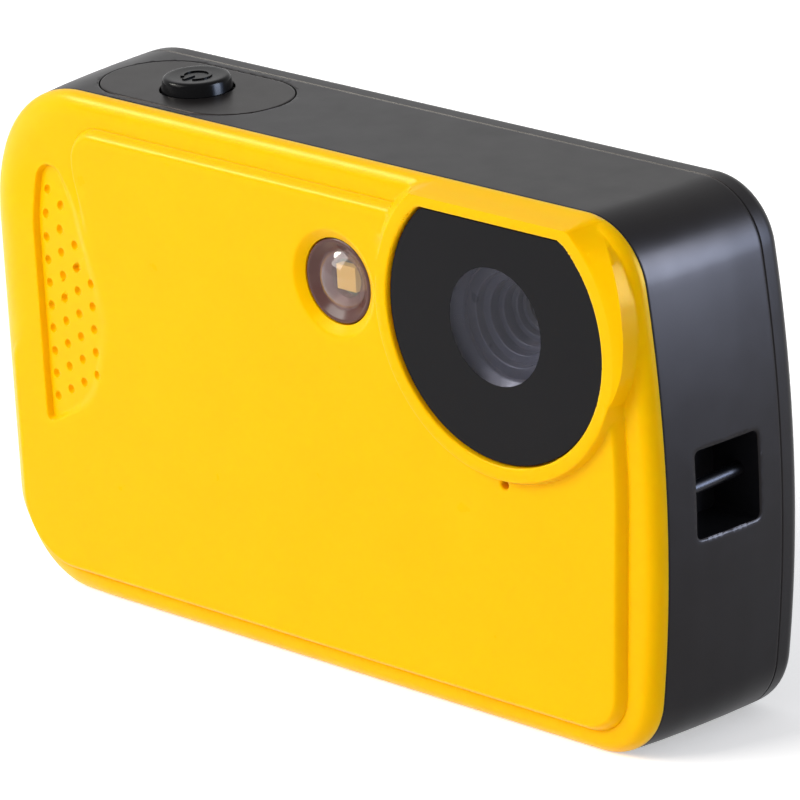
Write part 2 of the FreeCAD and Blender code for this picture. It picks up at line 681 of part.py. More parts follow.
def mid_frame():
    frame = frame_outside().cut(slab(D_SPLIT - 1, D_SEAM + 1, WALL))
    ledge_front = FRONT_TONGUE_END + SEAL_THICK
    ledge_back = REAR_TONGUE_END - SEAL_THICK
    ledges = [ring(ledge_front, ledge_front + LEDGE_THICK, WALL - 0.3, WALL + LEDGE_REACH)]
    ledges.append(ring(ledge_back - LEDGE_THICK, ledge_back, WALL - 0.3, WALL + LEDGE_REACH))
    frame = frame.fuse(ledges)
    seat_low = HEIGHT - WALL - 2.2
    plate_seat = plate_shape(2.0, seat_low, HEIGHT - 1.0)
    frame = frame.fuse(plate_seat.common(box(-HALF_WIDTH, 0, ledge_front, ledge_back, 0, HEIGHT)))
    for side in (-1, 1):
        x = BUTTON_X + side * SWITCH_RIB_X
        frame = frame.fuse(box(x - 0.8, x + 0.8, D_BUTTON - 4, D_BUTTON + 4, switch_base(), seat_low + 0.5))
    frame = frame.cut(plate_shape(PLATE_GAP, HEIGHT - PLATE_THICK, HEIGHT + 1))
    frame = frame.cut(rod_z(BUTTON_X, D_BUTTON, CLIP_R + 0.6, HEIGHT - WALL - 3, HEIGHT))
    frame = strap_pocket(frame)
    frame = side_bay(frame)
    for x, z in POSTS:
        frame = frame.cut(rod_y(x, z, POST_R + 0.15, D_SPLIT, D_SEAM))
    boss = rod_z(TRIPOD_X, D_MID, TRIPOD_OUTER_R + TRIPOD_BOSS_WALL, WALL - 1, TRIPOD_LENGTH + 0.4)
    seat = rod_z(TRIPOD_X, D_MID, TRIPOD_OUTER_R, -1, TRIPOD_LENGTH + 1)
    flange = rod_z(TRIPOD_X, D_MID, TRIPOD_FLANGE_R, TRIPOD_LENGTH - 0.8, TRIPOD_LENGTH + 1)
    frame = frame.fuse(boss).cut([seat, flange])
    for x, z in BOARD_SCREWS:
        frame = frame.fuse(board_post(x, z))
        frame = frame.cut(rod_y(x, z, BOARD_SCREW_R + 0.02, D_MAIN - 4, D_MAIN))
    return flat_base(frame).removeSplitter()


def board_post(x, z):
    """Post for a board screw with the arm that carries it from the nearest wall."""
    post = rod_y(x, z, BOARD_POST_R, D_MAIN - 5, D_MAIN)
    if z < HEIGHT / 4:
        arm = box(x - 1.0, x + 1.0, D_MAIN - 5, D_MAIN - 0.5, WALL - 0.5, z)
    elif z > 3 * HEIGHT / 4:
        arm = box(x - 1.0, x + 1.0, D_MAIN - 5, D_MAIN - 0.5, z, HEIGHT - WALL + 0.5)
    else:
        pocket_wall = HALF_WIDTH + SIDE_FLARE - SLOT_DEEP - SLOT_WALL / 2
        arm = box(x, pocket_wall, D_MAIN - 5, D_MAIN - 0.5, z - 1.0, z + 1.0)
    return post.fuse(arm)


# Rear cover

def key_hole(x, z, r):
    return rod_y(x, z, r + KEY_GAP, D_REAR - 5, D_REAR + 1)


def rocker_shape(d0, d1, grow):
    r = ROCKER_WIDTH / 2 + grow
    half = (ROCKER_LENGTH - ROCKER_WIDTH) / 2
    ends = [rod_y(ROCKER_X - half, ROCKER_Z, r, d0, d1), rod_y(ROCKER_X + half, ROCKER_Z, r, d0, d1)]
    middle = box(ROCKER_X - half, ROCKER_X + half, d0, d1, ROCKER_Z - r, ROCKER_Z + r)
    return middle.fuse(ends).removeSplitter()


def screen_box(width, height, d0, d1, r=0.0):
    x0 = SCREEN_X - width / 2
    z0 = SCREEN_Z - height / 2
    if r:
        return rounded_box(x0, x0 + width, d0, d1, z0, z0 + height, r)
    return box(x0, x0 + width, d0, d1, z0, z0 + height)


def rear_cover():
    cover = slab(D_SEAM, D_REAR, 0.0, SIDE_FLARE)
    cover = cover.makeFillet(REAR_EDGE_R, [e for e in cover.Edges if is_at(e, D_REAR)])
    cover = cover.cut(slab(D_SEAM - 1, D_REAR - SKIN, WALL + FIT + TONGUE))
    cover = cover.fuse(ring(REAR_TONGUE_END, D_SEAM + 0.5, WALL + FIT, WALL + FIT + TONGUE))
    for x, z in POSTS:
        cover = cover.fuse(rod_y(x, z, POST_R, D_POST, D_REAR - 0.5))
    pane_w = SCREEN_VIEW_W + 2 * (SCREEN_PANE_RIM + PANE_GAP)
    pane_h = SCREEN_VIEW_H + 2 * (SCREEN_PANE_RIM + PANE_GAP)
    cover = cover.cut(screen_box(pane_w, pane_h, D_REAR - SCREEN_PANE_THICK, D_REAR + 1, 2.0))
    cover = cover.cut(screen_box(SCREEN_VIEW_W, SCREEN_VIEW_H, D_REAR - 4, D_REAR))
    for name, x, z, r in KEYS:
        cover = cover.cut(key_hole(x, z, r))
    cover = cover.cut(rocker_shape(D_REAR - 5, D_REAR + 1, ROCKER_GAP))
    inner = D_REAR - SKIN + 0.2
    for side in (-1, 1):
        z0 = ROCKER_Z + side * (ROCKER_WIDTH / 2 + 1.7) - 0.7
        cover = cover.fuse(box(ROCKER_X - 1.6, ROCKER_X + 1.6, D_REAR - 4.2, inner, z0, z0 + 1.4))
    for x, z in KEY_BOARD_PEGS:
        cover = cover.fuse(rod_y(x, z, 1.0, D_KEY_BOARD + KEY_BOARD_THICK + KEY_MAT_THICK, inner))
    cover = cover.cut(rod_pin())
    for x, z in POSTS:
        cover = cover.cut(rod_y(x, z, SCREW_R + 0.2, D_POST - 1, D_REAR))
        cover = cover.cut(rod_y(x, z, SCREW_HEAD_R + 0.15, D_REAR - SCREW_SINK - SCREW_HEAD, D_REAR + 1))
    return flat_base(cover).removeSplitter()


def rod_pin(grow=0.0):
    """The zoom rocker's pin along Z, behind the cover."""
    half = ROCKER_WIDTH / 2 + 2.2
    return rod_z(ROCKER_X, D_REAR - 3.1, ROCKER_PIN_R + grow, ROCKER_Z - half, ROCKER_Z + half)


def zoom_rocker():
    top = rocker_shape(D_REAR - 2.6, D_REAR + KEY_PROUD, 0.0)
    top = top.makeFillet(KEY_EDGE, [e for e in top.Edges if is_at(e, D_REAR + KEY_PROUD)])
    hub = box(ROCKER_X - 1.5, ROCKER_X + 1.5, D_REAR - 4.0, D_REAR - 2.5, ROCKER_Z - 2.4, ROCKER_Z + 2.4)
    rocker = top.fuse(hub)
    for side in (-1, 1):
        x = ROCKER_X + side * 4.2
        rocker = rocker.fuse(rod_y(x, ROCKER_Z, KEY_PLUNGER_R, D_REAR - 3.4, D_REAR - 2.5))
    return rocker.cut(rod_pin(ROCKER_PIN_GAP))


def round_key(x, z, r):
    """A key cap with its flange behind the cover and the plunger over its dome."""
    inner = D_REAR - SKIN
    flange_back = inner - 0.3
    cap = rod_y(x, z, r, flange_back - KEY_FLANGE_THICK, D_REAR + KEY_PROUD)
    cap = cap.makeFillet(KEY_EDGE, [e for e in cap.Edges if is_at(e, D_REAR + KEY_PROUD)])
    flange = rod_y(x, z, r + KEY_FLANGE, flange_back - KEY_FLANGE_THICK, flange_back)
    mat_top = D_KEY_BOARD + KEY_BOARD_THICK + KEY_MAT_THICK
    plunger = rod_y(x, z, KEY_PLUNGER_R, mat_top + KEY_TRAVEL + 0.3, flange_back)
    return cap.fuse([flange, plunger]).removeSplitter()


# Seals, window, optics, lamp

def front_seal():
    return ring(FRONT_TONGUE_END, FRONT_TONGUE_END + SEAL_THICK, WALL + FIT, WALL + FIT + TONGUE)


def rear_seal():
    return ring(REAR_TONGUE_END - SEAL_THICK, REAR_TONGUE_END, WALL + FIT, WALL + FIT + TONGUE)


def lens_window():
    return window_shape(WINDOW_SINK, WINDOW_THICK, WINDOW_GAP)


def light_baffle():
    """Stepped funnel that keeps stray light off the lens."""
    start = WINDOW_SINK + WINDOW_THICK
    flange = rod_y(LENS_X, LENS_Z, BAFFLE_FLANGE_R, start, start + BAFFLE_FLANGE_THICK)
    funnel = rod_y(LENS_X, LENS_Z, BAFFLE_STEPS[0][1] + BAFFLE_WALL, start, start + BAFFLE_FUNNEL_LENGTH)
    throat = rod_y(LENS_X, LENS_Z, BARREL_R + 0.6, start + BAFFLE_FUNNEL_LENGTH - 0.1,
                   start + BAFFLE_LENGTH)
    body = flange.fuse([funnel, throat])
    ends = [step[0] for step in BAFFLE_STEPS[1:]] + [1.1]
    for (share, r), end in zip(BAFFLE_STEPS, ends):
        body = body.cut(rod_y(LENS_X, LENS_Z, r, start + share * BAFFLE_LENGTH - 0.01,
                              start + end * BAFFLE_LENGTH))
    return body


def lens_barrel():
    front = WINDOW_SINK + WINDOW_THICK + BAFFLE_LENGTH
    barrel = rod_y(LENS_X, LENS_Z, BARREL_R, front, front + BARREL_LENGTH)
    barrel = barrel.cut(rod_y(LENS_X, LENS_Z, ELEMENT_R, front, front + ELEMENT_THICK))
    barrel = barrel.cut(rod_y(LENS_X, LENS_Z, BARREL_BORE_R, front, front + BARREL_LENGTH))
    back = front + BARREL_LENGTH - ELEMENT_THICK
    return barrel.cut(rod_y(LENS_X, LENS_Z, ELEMENT_R, back, front + BARREL_LENGTH))


def lens_element(front, bulge):
    """A glass element with one domed face."""
    base = rod_y(LENS_X, LENS_Z, ELEMENT_R, front, front + ELEMENT_THICK)
    sphere_r = (ELEMENT_R ** 2 + bulge ** 2) / (2 * bulge)
    ball = Part.makeSphere(sphere_r, V(LENS_X, y_at(front + sphere_r), LENS_Z))
    return base.common(ball)


def lens_holder():
    """Square foot that carries the barrel over the sensor."""
    front = WINDOW_SINK + WINDOW_THICK + BAFFLE_LENGTH + BARREL_LENGTH
    half = FOOT_HALF
    foot = box(LENS_X - half, LENS_X + half, front, D_MAIN, LENS_Z - half, LENS_Z + half)
    half = FOOT_ROOM_HALF
    return foot.cut(box(LENS_X - half, LENS_X + half, front - 1, D_MAIN + 1, LENS_Z - half, LENS_Z + half))


def lamp_parts():
    """Holder ring, clear dome, chip and board of the lamp."""
    front = D_PAD + LAMP_DISH_DEPTH
    back = front + LAMP_LENGTH
    holder = rod_y(LAMP_X, LAMP_Z, LAMP_R, front, back)
    cup = cone_y(LAMP_X, LAMP_Z, LAMP_R - LAMP_CUP_EDGE, LAMP_THROAT_R, front, front + LAMP_CUP_DEEP)
    holder = holder.cut([cup, rod_y(LAMP_X, LAMP_Z, LAMP_THROAT_R, front + LAMP_CUP_DEEP - 0.1, back)])
    ball = Part.makeSphere(DOME_BALL_R, V(LAMP_X, y_at(front - DOME_RISE + DOME_BALL_R), LAMP_Z))
    lens = ball.common(rod_y(LAMP_X, LAMP_Z, DOME_R, front - DOME_RISE - 0.5, front + DOME_FOOT))
    chip = box(LAMP_X - CHIP_HALF, LAMP_X + CHIP_HALF, back - CHIP_THICK, back, LAMP_Z - CHIP_HALF,
               LAMP_Z + CHIP_HALF)
    board = rod_y(LAMP_X, LAMP_Z, LAMP_R - TRAY_SLACK, back, back + LAMP_BOARD_THICK)
    return holder.cut(lens), lens, chip, board


# Shutter release

def top_plate():
    plate = plate_shape(0.0, HEIGHT - PLATE_THICK, HEIGHT)
    plate = plate.cut(rod_z(BUTTON_X, D_BUTTON, BUTTON_FOOT_R + BUTTON_GAP, HEIGHT - BUTTON_SKIRT,
                            HEIGHT + 1))
    return plate.cut(rod_z(BUTTON_X, D_BUTTON, STEM_R + STEM_GAP, HEIGHT - PLATE_THICK - 1, HEIGHT))


def seal_room():
    return HEIGHT - PLATE_THICK


def shutter_button():
    top = HEIGHT + BUTTON_RISE
    foot = HEIGHT - BUTTON_SKIRT + BUTTON_TRAVEL + 0.2
    cap = Part.makeCone(BUTTON_FOOT_R, BUTTON_R, top - foot, V(BUTTON_X, y_at(D_BUTTON), foot), V(0, 0, 1))
    rim = [e for e in cap.Edges if abs(e.BoundBox.ZMin - top) < 1e-4 and abs(e.BoundBox.ZMax - top) < 1e-4]
    cap = cap.makeFillet(0.5, rim)
    dish = rod_z(BUTTON_X, D_BUTTON, SPRING_R + 0.5, foot - 1, foot + 0.6)
    stem = rod_z(BUTTON_X, D_BUTTON, STEM_R, clip_z() - 0.9, foot + 0.7)
    neck = rod_z(BUTTON_X, D_BUTTON, STEM_R, clip_z(), clip_z() + CLIP_THICK)
    neck = neck.cut(rod_z(BUTTON_X, D_BUTTON, STEM_R - 0.35, clip_z(), clip_z() + CLIP_THICK))
    return cap.cut(dish).fuse(stem).cut(neck)


def clip_z():
    """Underside of the clip that keeps the button in, at rest."""
    return HEIGHT - PLATE_THICK - 1.9


def shutter_clip():
    clip = rod_z(BUTTON_X, D_BUTTON, CLIP_R, clip_z(), clip_z() + CLIP_THICK)
    clip = clip.cut(rod_z(BUTTON_X, D_BUTTON, STEM_R - 0.35, clip_z(), clip_z() + CLIP_THICK))
    mouth = box(BUTTON_X - 0.9, BUTTON_X + 0.9, D_BUTTON, D_BUTTON + CLIP_R + 1, clip_z(),
                clip_z() + CLIP_THICK)
    return clip.cut(mouth)


def shutter_seal():
    base = HEIGHT - PLATE_THICK
    seal = rod_z(BUTTON_X, D_BUTTON, CLIP_R + 0.55, base - 1.0, base)
    return seal.cut(rod_z(BUTTON_X, D_BUTTON, STEM_R + STEM_GAP, base - 1.0, base))


def shutter_spring():
    """Coil between the plate's floor and the cap, one round wire."""
    base = HEIGHT - BUTTON_SKIRT + SPRING_WIRE_R + 0.02
    top = HEIGHT - BUTTON_SKIRT + BUTTON_TRAVEL + 0.2 + 0.6 - SPRING_WIRE_R - 0.02
    pitch = (top - base) / SPRING_TURNS
    r = SPRING_R - SPRING_WIRE_R - 0.1
    path = Part.makeHelix(pitch, top - base, r)
    section = Part.Wire(Part.makeCircle(SPRING_WIRE_R, V(r, 0, 0), V(0, 1, 0)))
    spring = Part.Wire(path.Edges).makePipeShell([section], True, True)
    spring.translate(V(BUTTON_X, y_at(D_BUTTON), base))
    return spring


def switch_base():
    """Top face of the small board under the shutter release."""
    return clip_z() - 0.9 - BUTTON_TRAVEL - 0.25 - 3.2


def shutter_switch():
    top = switch_base() + 3.2
    body = box(BUTTON_X - 3.0, BUTTON_X + 3.0, D_BUTTON - 3.0, D_BUTTON + 3.0, top - 3.2, top - 0.8)
    return body.fuse(rod_z(BUTTON_X, D_BUTTON, 1.3, top - 0.9, top))


def switch_board():
    top = switch_base()
    half_d = D_KEY_BOARD - SWITCH_BOARD_GAP - D_BUTTON
    half_x = SWITCH_RIB_X + 1.0
    return box(BUTTON_X - half_x, BUTTON_X + half_x, D_BUTTON - half_d, D_BUTTON + half_d,
               top - BOARD_THICK, top)


# Boards and what they carry

def main_board():
    board = box(MAIN_LEFT, MAIN_RIGHT, D_MAIN, D_MAIN + BOARD_THICK, MAIN_BOTTOM, MAIN_TOP)
    for x, z in BOARD_SCREWS:
        board = board.cut(rod_y(x, z, BOARD_SCREW_R + 0.15, D_MAIN - 1, D_MAIN + 2))
    return board


def board_chips():
    back = D_MAIN + BOARD_THICK
    wide = MAIN_RIGHT - MAIN_LEFT
    high = MAIN_TOP - MAIN_BOTTOM
    chips = []
    for left, right, low, top, thick in CHIPS:
        chips.append(box(MAIN_LEFT + left * wide, MAIN_LEFT + right * wide, back, back + thick,
                         MAIN_BOTTOM + low * high, MAIN_BOTTOM + top * high))
    return Part.makeCompound(chips)


def image_sensor():
    return box(LENS_X - SENSOR_HALF_W, LENS_X + SENSOR_HALF_W, D_MAIN - SENSOR_THICK, D_MAIN,
               LENS_Z - SENSOR_HALF_H, LENS_Z + SENSOR_HALF_H)


def ir_filter():
    back = D_MAIN - SENSOR_THICK
    return box(LENS_X - FILTER_HALF_W, LENS_X + FILTER_HALF_W, back - FILTER_THICK, back,
               LENS_Z - FILTER_HALF_H, LENS_Z + FILTER_HALF_H)


def key_board():
    board = box(KEY_BOARD_LEFT, KEY_BOARD_RIGHT, D_KEY_BOARD, D_KEY_BOARD + KEY_BOARD_THICK,
                KEY_BOARD_BOTTOM, KEY_BOARD_TOP)
    return trim_for_posts(board, D_KEY_BOARD, KEY_BOARD_THICK)


def trim_for_posts(sheet, depth, thick):
    """Keeps a sheet inside the tongue and clear of the screw posts."""
    sheet = sheet.common(slab(depth, depth + thick, WALL + FIT + TONGUE + 0.2))
    for x, z in POSTS:
        sheet = sheet.cut(rod_y(x, z, POST_R + 0.4, depth - 1, depth + thick + 1))
    return sheet


def dome_places():
    places = [(x, z) for name, x, z, r in KEYS]
    return places + [(ROCKER_X - 4.2, ROCKER_Z), (ROCKER_X + 4.2, ROCKER_Z)]


def key_domes():
    base = D_KEY_BOARD + KEY_BOARD_THICK
    return Part.makeCompound([rod_y(x, z, DOME_KEY_R, base, base + DOME_KEY_THICK) for x,
                              z in dome_places()])


def key_mat():
    """Soft sheet over the domes that also seals the key openings."""
    base = D_KEY_BOARD + KEY_BOARD_THICK
    mat = box(KEY_BOARD_LEFT, KEY_BOARD_RIGHT, base, base + KEY_MAT_THICK, KEY_BOARD_BOTTOM, KEY_BOARD_TOP)
    mat = trim_for_posts(mat, base, KEY_MAT_THICK)
    for x, z in dome_places():
        mat = mat.cut(rod_y(x, z, DOME_KEY_R, base, base + DOME_KEY_THICK))
    return mat


def io_board():
    return box(BAY_WALL_X + 0.1, IO_RIGHT, D_IO, D_IO + BOARD_THICK, IO_BOTTOM, IO_TOP)


def usb_socket():
    """Sheet-metal data socket with its tongue."""
    x0 = BAY_WALL_X + 0.1
    front = D_IO - SOCKET_THICK
    low = IO_BOTTOM + SOCKET_MARGIN * IO_HEIGHT
    high = IO_TOP - SOCKET_MARGIN * IO_HEIGHT
    sheet = SOCKET_SHEET
    shell = box(x0, x0 + SOCKET_LENGTH, front, D_IO, low, high)
    room = box(x0 - 1, x0 + SOCKET_LENGTH - 2 * sheet, front + sheet, D_IO - sheet, low + sheet,
               high - sheet)
    middle = (front + D_IO) / 2
    tongue_low = low + SOCKET_MARGIN * IO_HEIGHT
    tongue_high = high - SOCKET_MARGIN * IO_HEIGHT
    tongue = box(x0 + sheet, x0 + SOCKET_LENGTH - sheet, middle - SOCKET_TONGUE_THICK / 2,
                 middle + SOCKET_TONGUE_THICK / 2, tongue_low, tongue_high)
    return shell.cut(room).fuse(tongue)


def card_socket():
    x0 = BAY_WALL_X + 1.4
    back = D_IO + BOARD_THICK
    deep = CARD_THICK + 2 * CARD_SHEET + 0.1
    shell = box(x0, x0 + CARD_LENGTH, back, back + deep, IO_BOTTOM - CARD_OVERHANG, IO_TOP + CARD_OVERHANG)
    return shell.cut(box(x0 - 1, x0 + CARD_LENGTH - 2 * CARD_SHEET, back + CARD_SHEET,
                         back + deep - CARD_SHEET,
                         IO_BOTTOM + CARD_OVERHANG - 0.05, IO_TOP - CARD_OVERHANG + 0.05))


def memory_card():
    x0 = BAY_WALL_X + 1.4 - CARD_OVERHANG * 5
    front = D_IO + BOARD_THICK + CARD_SHEET + 0.05
    return box(x0, x0 + CARD_LENGTH, front, front + CARD_THICK, IO_BOTTOM + CARD_OVERHANG,
               IO_TOP - CARD_OVERHANG)


def tray_outer():
    low = CELL_LOW_Z - CELL_R - TRAY_SLACK
    high = CELL_LOW_Z + CELL_PITCH + CELL_R + TRAY_SLACK
    back = CELL_LEFT + CELL_LENGTH + CONTACT_ROOM
    return low, high, back


def battery_tray():
    low, high, end = tray_outer()
    outside = box(BAY_WALL_X, end + TRAY_WALL, BAY_FRONT - TRAY_WALL, BAY_BACK + TRAY_WALL,
                  low - TRAY_WALL, high + TRAY_WALL)
    inside = box(BAY_WALL_X - 1, end, BAY_FRONT, BAY_BACK, low, high)
    shelf = box(BAY_WALL_X, IO_RIGHT, D_IO - 0.5, BAY_BACK + TRAY_WALL, IO_TOP + 0.25, low)
    return outside.cut(inside).fuse(shelf).removeSplitter()


def cell(z, flip):
    """A small round cell with its raised contact, pointing in or out."""
    end = CELL_LEFT + CELL_LENGTH
    if flip:
        can = rod_x(D_CELL, z, CELL_R, CELL_LEFT + CELL_CAP, end)
        cap = rod_x(D_CELL, z, CELL_CAP_R, CELL_LEFT, CELL_LEFT + CELL_CAP + 0.1)
    else:
        can = rod_x(D_CELL, z, CELL_R, CELL_LEFT, end - CELL_CAP)
        cap = rod_x(D_CELL, z, CELL_CAP_R, end - CELL_CAP - 0.1, end)
    return can.fuse(cap)


def battery_contacts():
    low, high, end = tray_outer()
    plates = []
    for z in (CELL_LOW_Z, CELL_LOW_Z + CELL_PITCH):
        half = CONTACT_HALF
        blade = box(end - CONTACT_THICK, end, D_CELL - half, D_CELL + half, z - half, z + half)
        spring = rod_x(D_CELL, z, CONTACT_HALF * 0.4, CELL_LEFT + CELL_LENGTH + 0.05,
                       end - CONTACT_THICK + 0.1)
        plates.append(blade.fuse(spring))
    return Part.makeCompound(plates)


def speaker():
    d0 = D_MAIN + BOARD_THICK
    back = d0 + SPEAKER_THICK
    can = rod_y(SPEAKER_X, SPEAKER_Z, SPEAKER_R, d0, back)
    return can.fuse(rod_y(SPEAKER_X, SPEAKER_Z, SPEAKER_R / 2, back - 0.1, back + SPEAKER_CONE))


def microphone():
    return rod_y(MIC_X, MIC_Z, MIC_CAN_R, D_PAD + SKIN, D_PAD + SKIN + MIC_CAN_LENGTH)


def lcd_module():
    back = D_REAR - SKIN - 0.1
    return screen_box(SCREEN_WIDTH, SCREEN_HEIGHT, back - SCREEN_THICK, back)


def lcd_carrier():
    """Frame that holds the screen against the cover, standing on the main board."""
    back = D_REAR - SKIN - 0.1 - SCREEN_THICK
    outer = screen_box(SCREEN_WIDTH, SCREEN_HEIGHT, back - CARRIER_THICK, back)
    carrier = outer.cut(screen_box(SCREEN_WIDTH - 2 * CARRIER_RIM, SCREEN_HEIGHT - 2 * CARRIER_RIM,
                                   back - CARRIER_THICK - 1, back + 1))
    front = D_MAIN + BOARD_THICK
    x_pairs = (MAIN_LEFT + 1.2, MAIN_RIGHT - 1.2)
    z_pairs = (SCREEN_Z - SCREEN_HEIGHT / 2 + 2, SCREEN_Z + SCREEN_HEIGHT / 2 - 2)
    for x in x_pairs:
        for z in z_pairs:
            carrier = carrier.fuse(rod_y(x, z, CARRIER_POST_R, front, back - CARRIER_THICK / 2))
    return carrier


def lcd_flex():
    """Thin ribbon from the screen's foot forward to the main board."""
    back = D_REAR - SKIN - 0.1 - SCREEN_THICK
    front = D_MAIN + BOARD_THICK
    foot = SCREEN_Z - SCREEN_HEIGHT / 2 + CARRIER_RIM + FLEX_THICK
    run = box(SCREEN_X - FLEX_HALF, SCREEN_X + FLEX_HALF, front, back, foot, foot + FLEX_THICK)
    tab = box(SCREEN_X - FLEX_HALF, SCREEN_X + FLEX_HALF, front, front + FLEX_THICK, foot, foot + FLEX_TAB)
    return run.fuse(tab)


def lcd_window():
    pane_w = SCREEN_VIEW_W + 2 * SCREEN_PANE_RIM
    pane_h = SCREEN_VIEW_H + 2 * SCREEN_PANE_RIM
    return screen_box(pane_w, pane_h, D_REAR - SCREEN_PANE_THICK, D_REAR, 1.9)


# Side door

def latch_channel(door):
    half = LATCH_WIDTH / 2 + LATCH_GAP
    floor = DOOR_PLANE - LATCH_FLOOR
    low = DOOR_TOP - LATCH_LENGTH - 2 * LATCH_GAP
    high = DOOR_TOP - LATCH_TONGUE + LATCH_TRAVEL
    slot = box(-2 * HALF_WIDTH, floor, D_CELL - half, D_CELL + half, low, high)
    wing = half + LATCH_WING
    under = box(latch_back() - LATCH_TONGUE_THICK - 0.2, floor, D_CELL - wing, D_CELL + wing, low, high)
    tunnel = box(latch_back() - LATCH_TONGUE_THICK - 0.2, floor, D_CELL - half, D_CELL + half, low,
                 DOOR_TOP + 1)
    return door.cut([slot, under, tunnel])


def battery_door():
    plate = frame_outside().common(door_space(0.0))
    low = BAY_BOTTOM + PLUG_GAP
    high = BAY_TOP - PLUG_GAP
    plug = box(DOOR_PLANE - 0.2, DOOR_PLANE + PLUG_DEEP, BAY_FRONT + PLUG_GAP, BAY_BACK - PLUG_GAP, low,
               high)
    door = plate.fuse(plug)
    inner = DOOR_SEAL - SEAL_PROUD
    groove_out = box(DOOR_PLANE + 0.4, DOOR_PLANE + 1.2, BAY_FRONT, BAY_BACK, BAY_BOTTOM, BAY_TOP)
    groove_in = box(DOOR_PLANE + 0.4, DOOR_PLANE + 1.2, BAY_FRONT + PLUG_GAP + inner,
                    BAY_BACK - PLUG_GAP - inner,
                    low + inner, high - inner)
    door = door.cut(groove_out.cut(groove_in))
    d0 = D_DOOR_FRONT + KNUCKLE_LENGTH + DOOR_GAP
    d1 = D_DOOR_BACK - KNUCKLE_LENGTH - DOOR_GAP
    knuckle = rod_y(HINGE_X, HINGE_Z, KNUCKLE_R, d0, d1)
    web = box(HINGE_X - KNUCKLE_R, HINGE_X + 0.1, d0, d1, HINGE_Z, DOOR_BOTTOM + 0.2)
    door = door.fuse([knuckle, web])
    door = door.cut(rod_y(HINGE_X, HINGE_Z, HINGE_PIN_R + HINGE_PIN_GAP, d0, d1))
    return latch_channel(door).removeSplitter()


def door_seal():
    inner = DOOR_SEAL - SEAL_PROUD
    out = PLUG_GAP - SEAL_PROUD
    low = BAY_BOTTOM + PLUG_GAP
    high = BAY_TOP - PLUG_GAP
    outer = box(DOOR_PLANE + 0.4, DOOR_PLANE + 1.2, BAY_FRONT + out, BAY_BACK - out, BAY_BOTTOM + out,
                BAY_TOP - out)
    return outer.cut(box(DOOR_PLANE, DOOR_PLANE + 2, BAY_FRONT + PLUG_GAP + inner,
                         BAY_BACK - PLUG_GAP - inner,
                         low + inner, high - inner))


def door_pin():
    return rod_y(HINGE_X, HINGE_Z, HINGE_PIN_R, D_DOOR_FRONT, D_DOOR_BACK)


def door_latch():
    """Slider with side wings in the door's channel, a tongue and three finger ridges."""
    back = latch_back()
    half = LATCH_WIDTH / 2
    low = DOOR_TOP - LATCH_LENGTH - LATCH_GAP
    high = DOOR_TOP - LATCH_TONGUE - LATCH_GAP
    wing = half + LATCH_WING
    slider = box(back - LATCH_THICK, back, D_CELL - half, D_CELL + half, low, high)
    wings = box(back - LATCH_TONGUE_THICK, back, D_CELL - wing, D_CELL + wing, low, high)
    tongue = box(back - LATCH_TONGUE_THICK, back, D_CELL - half, D_CELL + half, high - 0.1,
                 DOOR_TOP - LATCH_GAP)
    latch = slider.fuse([wings, tongue])
    for step in range(3):
        z = low + 0.7 + step * 1.45
        latch = latch.fuse(box(back - LATCH_THICK - 0.4, back - LATCH_THICK, D_CELL - half,
                               D_CELL + half, z, z + 0.7))
    return latch.removeSplitter()


# Fasteners and tripod socket

def case_screw(x, z):
    head_back = D_REAR - SCREW_SINK
    seat = head_back - SCREW_HEAD
    head = rod_y(x, z, SCREW_HEAD_R, seat, head_back)
    cross = box(x - 1.1, x + 1.1, head_back - 0.6, head_back, z - 0.25, z + 0.25)
    cross = cross.fuse(box(x - 0.25, x + 0.25, head_back - 0.6, head_back, z - 1.1, z + 1.1))
    return head.cut(cross).fuse(rod_y(x, z, SCREW_R, seat - SCREW_LENGTH, seat))


def case_screws():
    return Part.makeCompound([case_screw(x, z) for x, z in POSTS])


def board_screws():
    screws = []
    for x, z in BOARD_SCREWS:
        back = D_MAIN + BOARD_THICK
        head = rod_y(x, z, BOARD_SCREW_HEAD_R, back, back + BOARD_SCREW_HEAD)
        screws.append(head.fuse(rod_y(x, z, BOARD_SCREW_R, back - BOARD_SCREW_LENGTH, back)))
    return Part.makeCompound(screws)


def tripod_nut():
    nut = rod_z(TRIPOD_X, D_MID, TRIPOD_OUTER_R, 0, TRIPOD_LENGTH)
    nut = nut.fuse(rod_z(TRIPOD_X, D_MID, TRIPOD_FLANGE_R, TRIPOD_LENGTH - 0.8, TRIPOD_LENGTH))
    return nut.cut(rod_z(TRIPOD_X, D_MID, TRIPOD_R, -1, TRIPOD_LENGTH + 1)).removeSplitter()


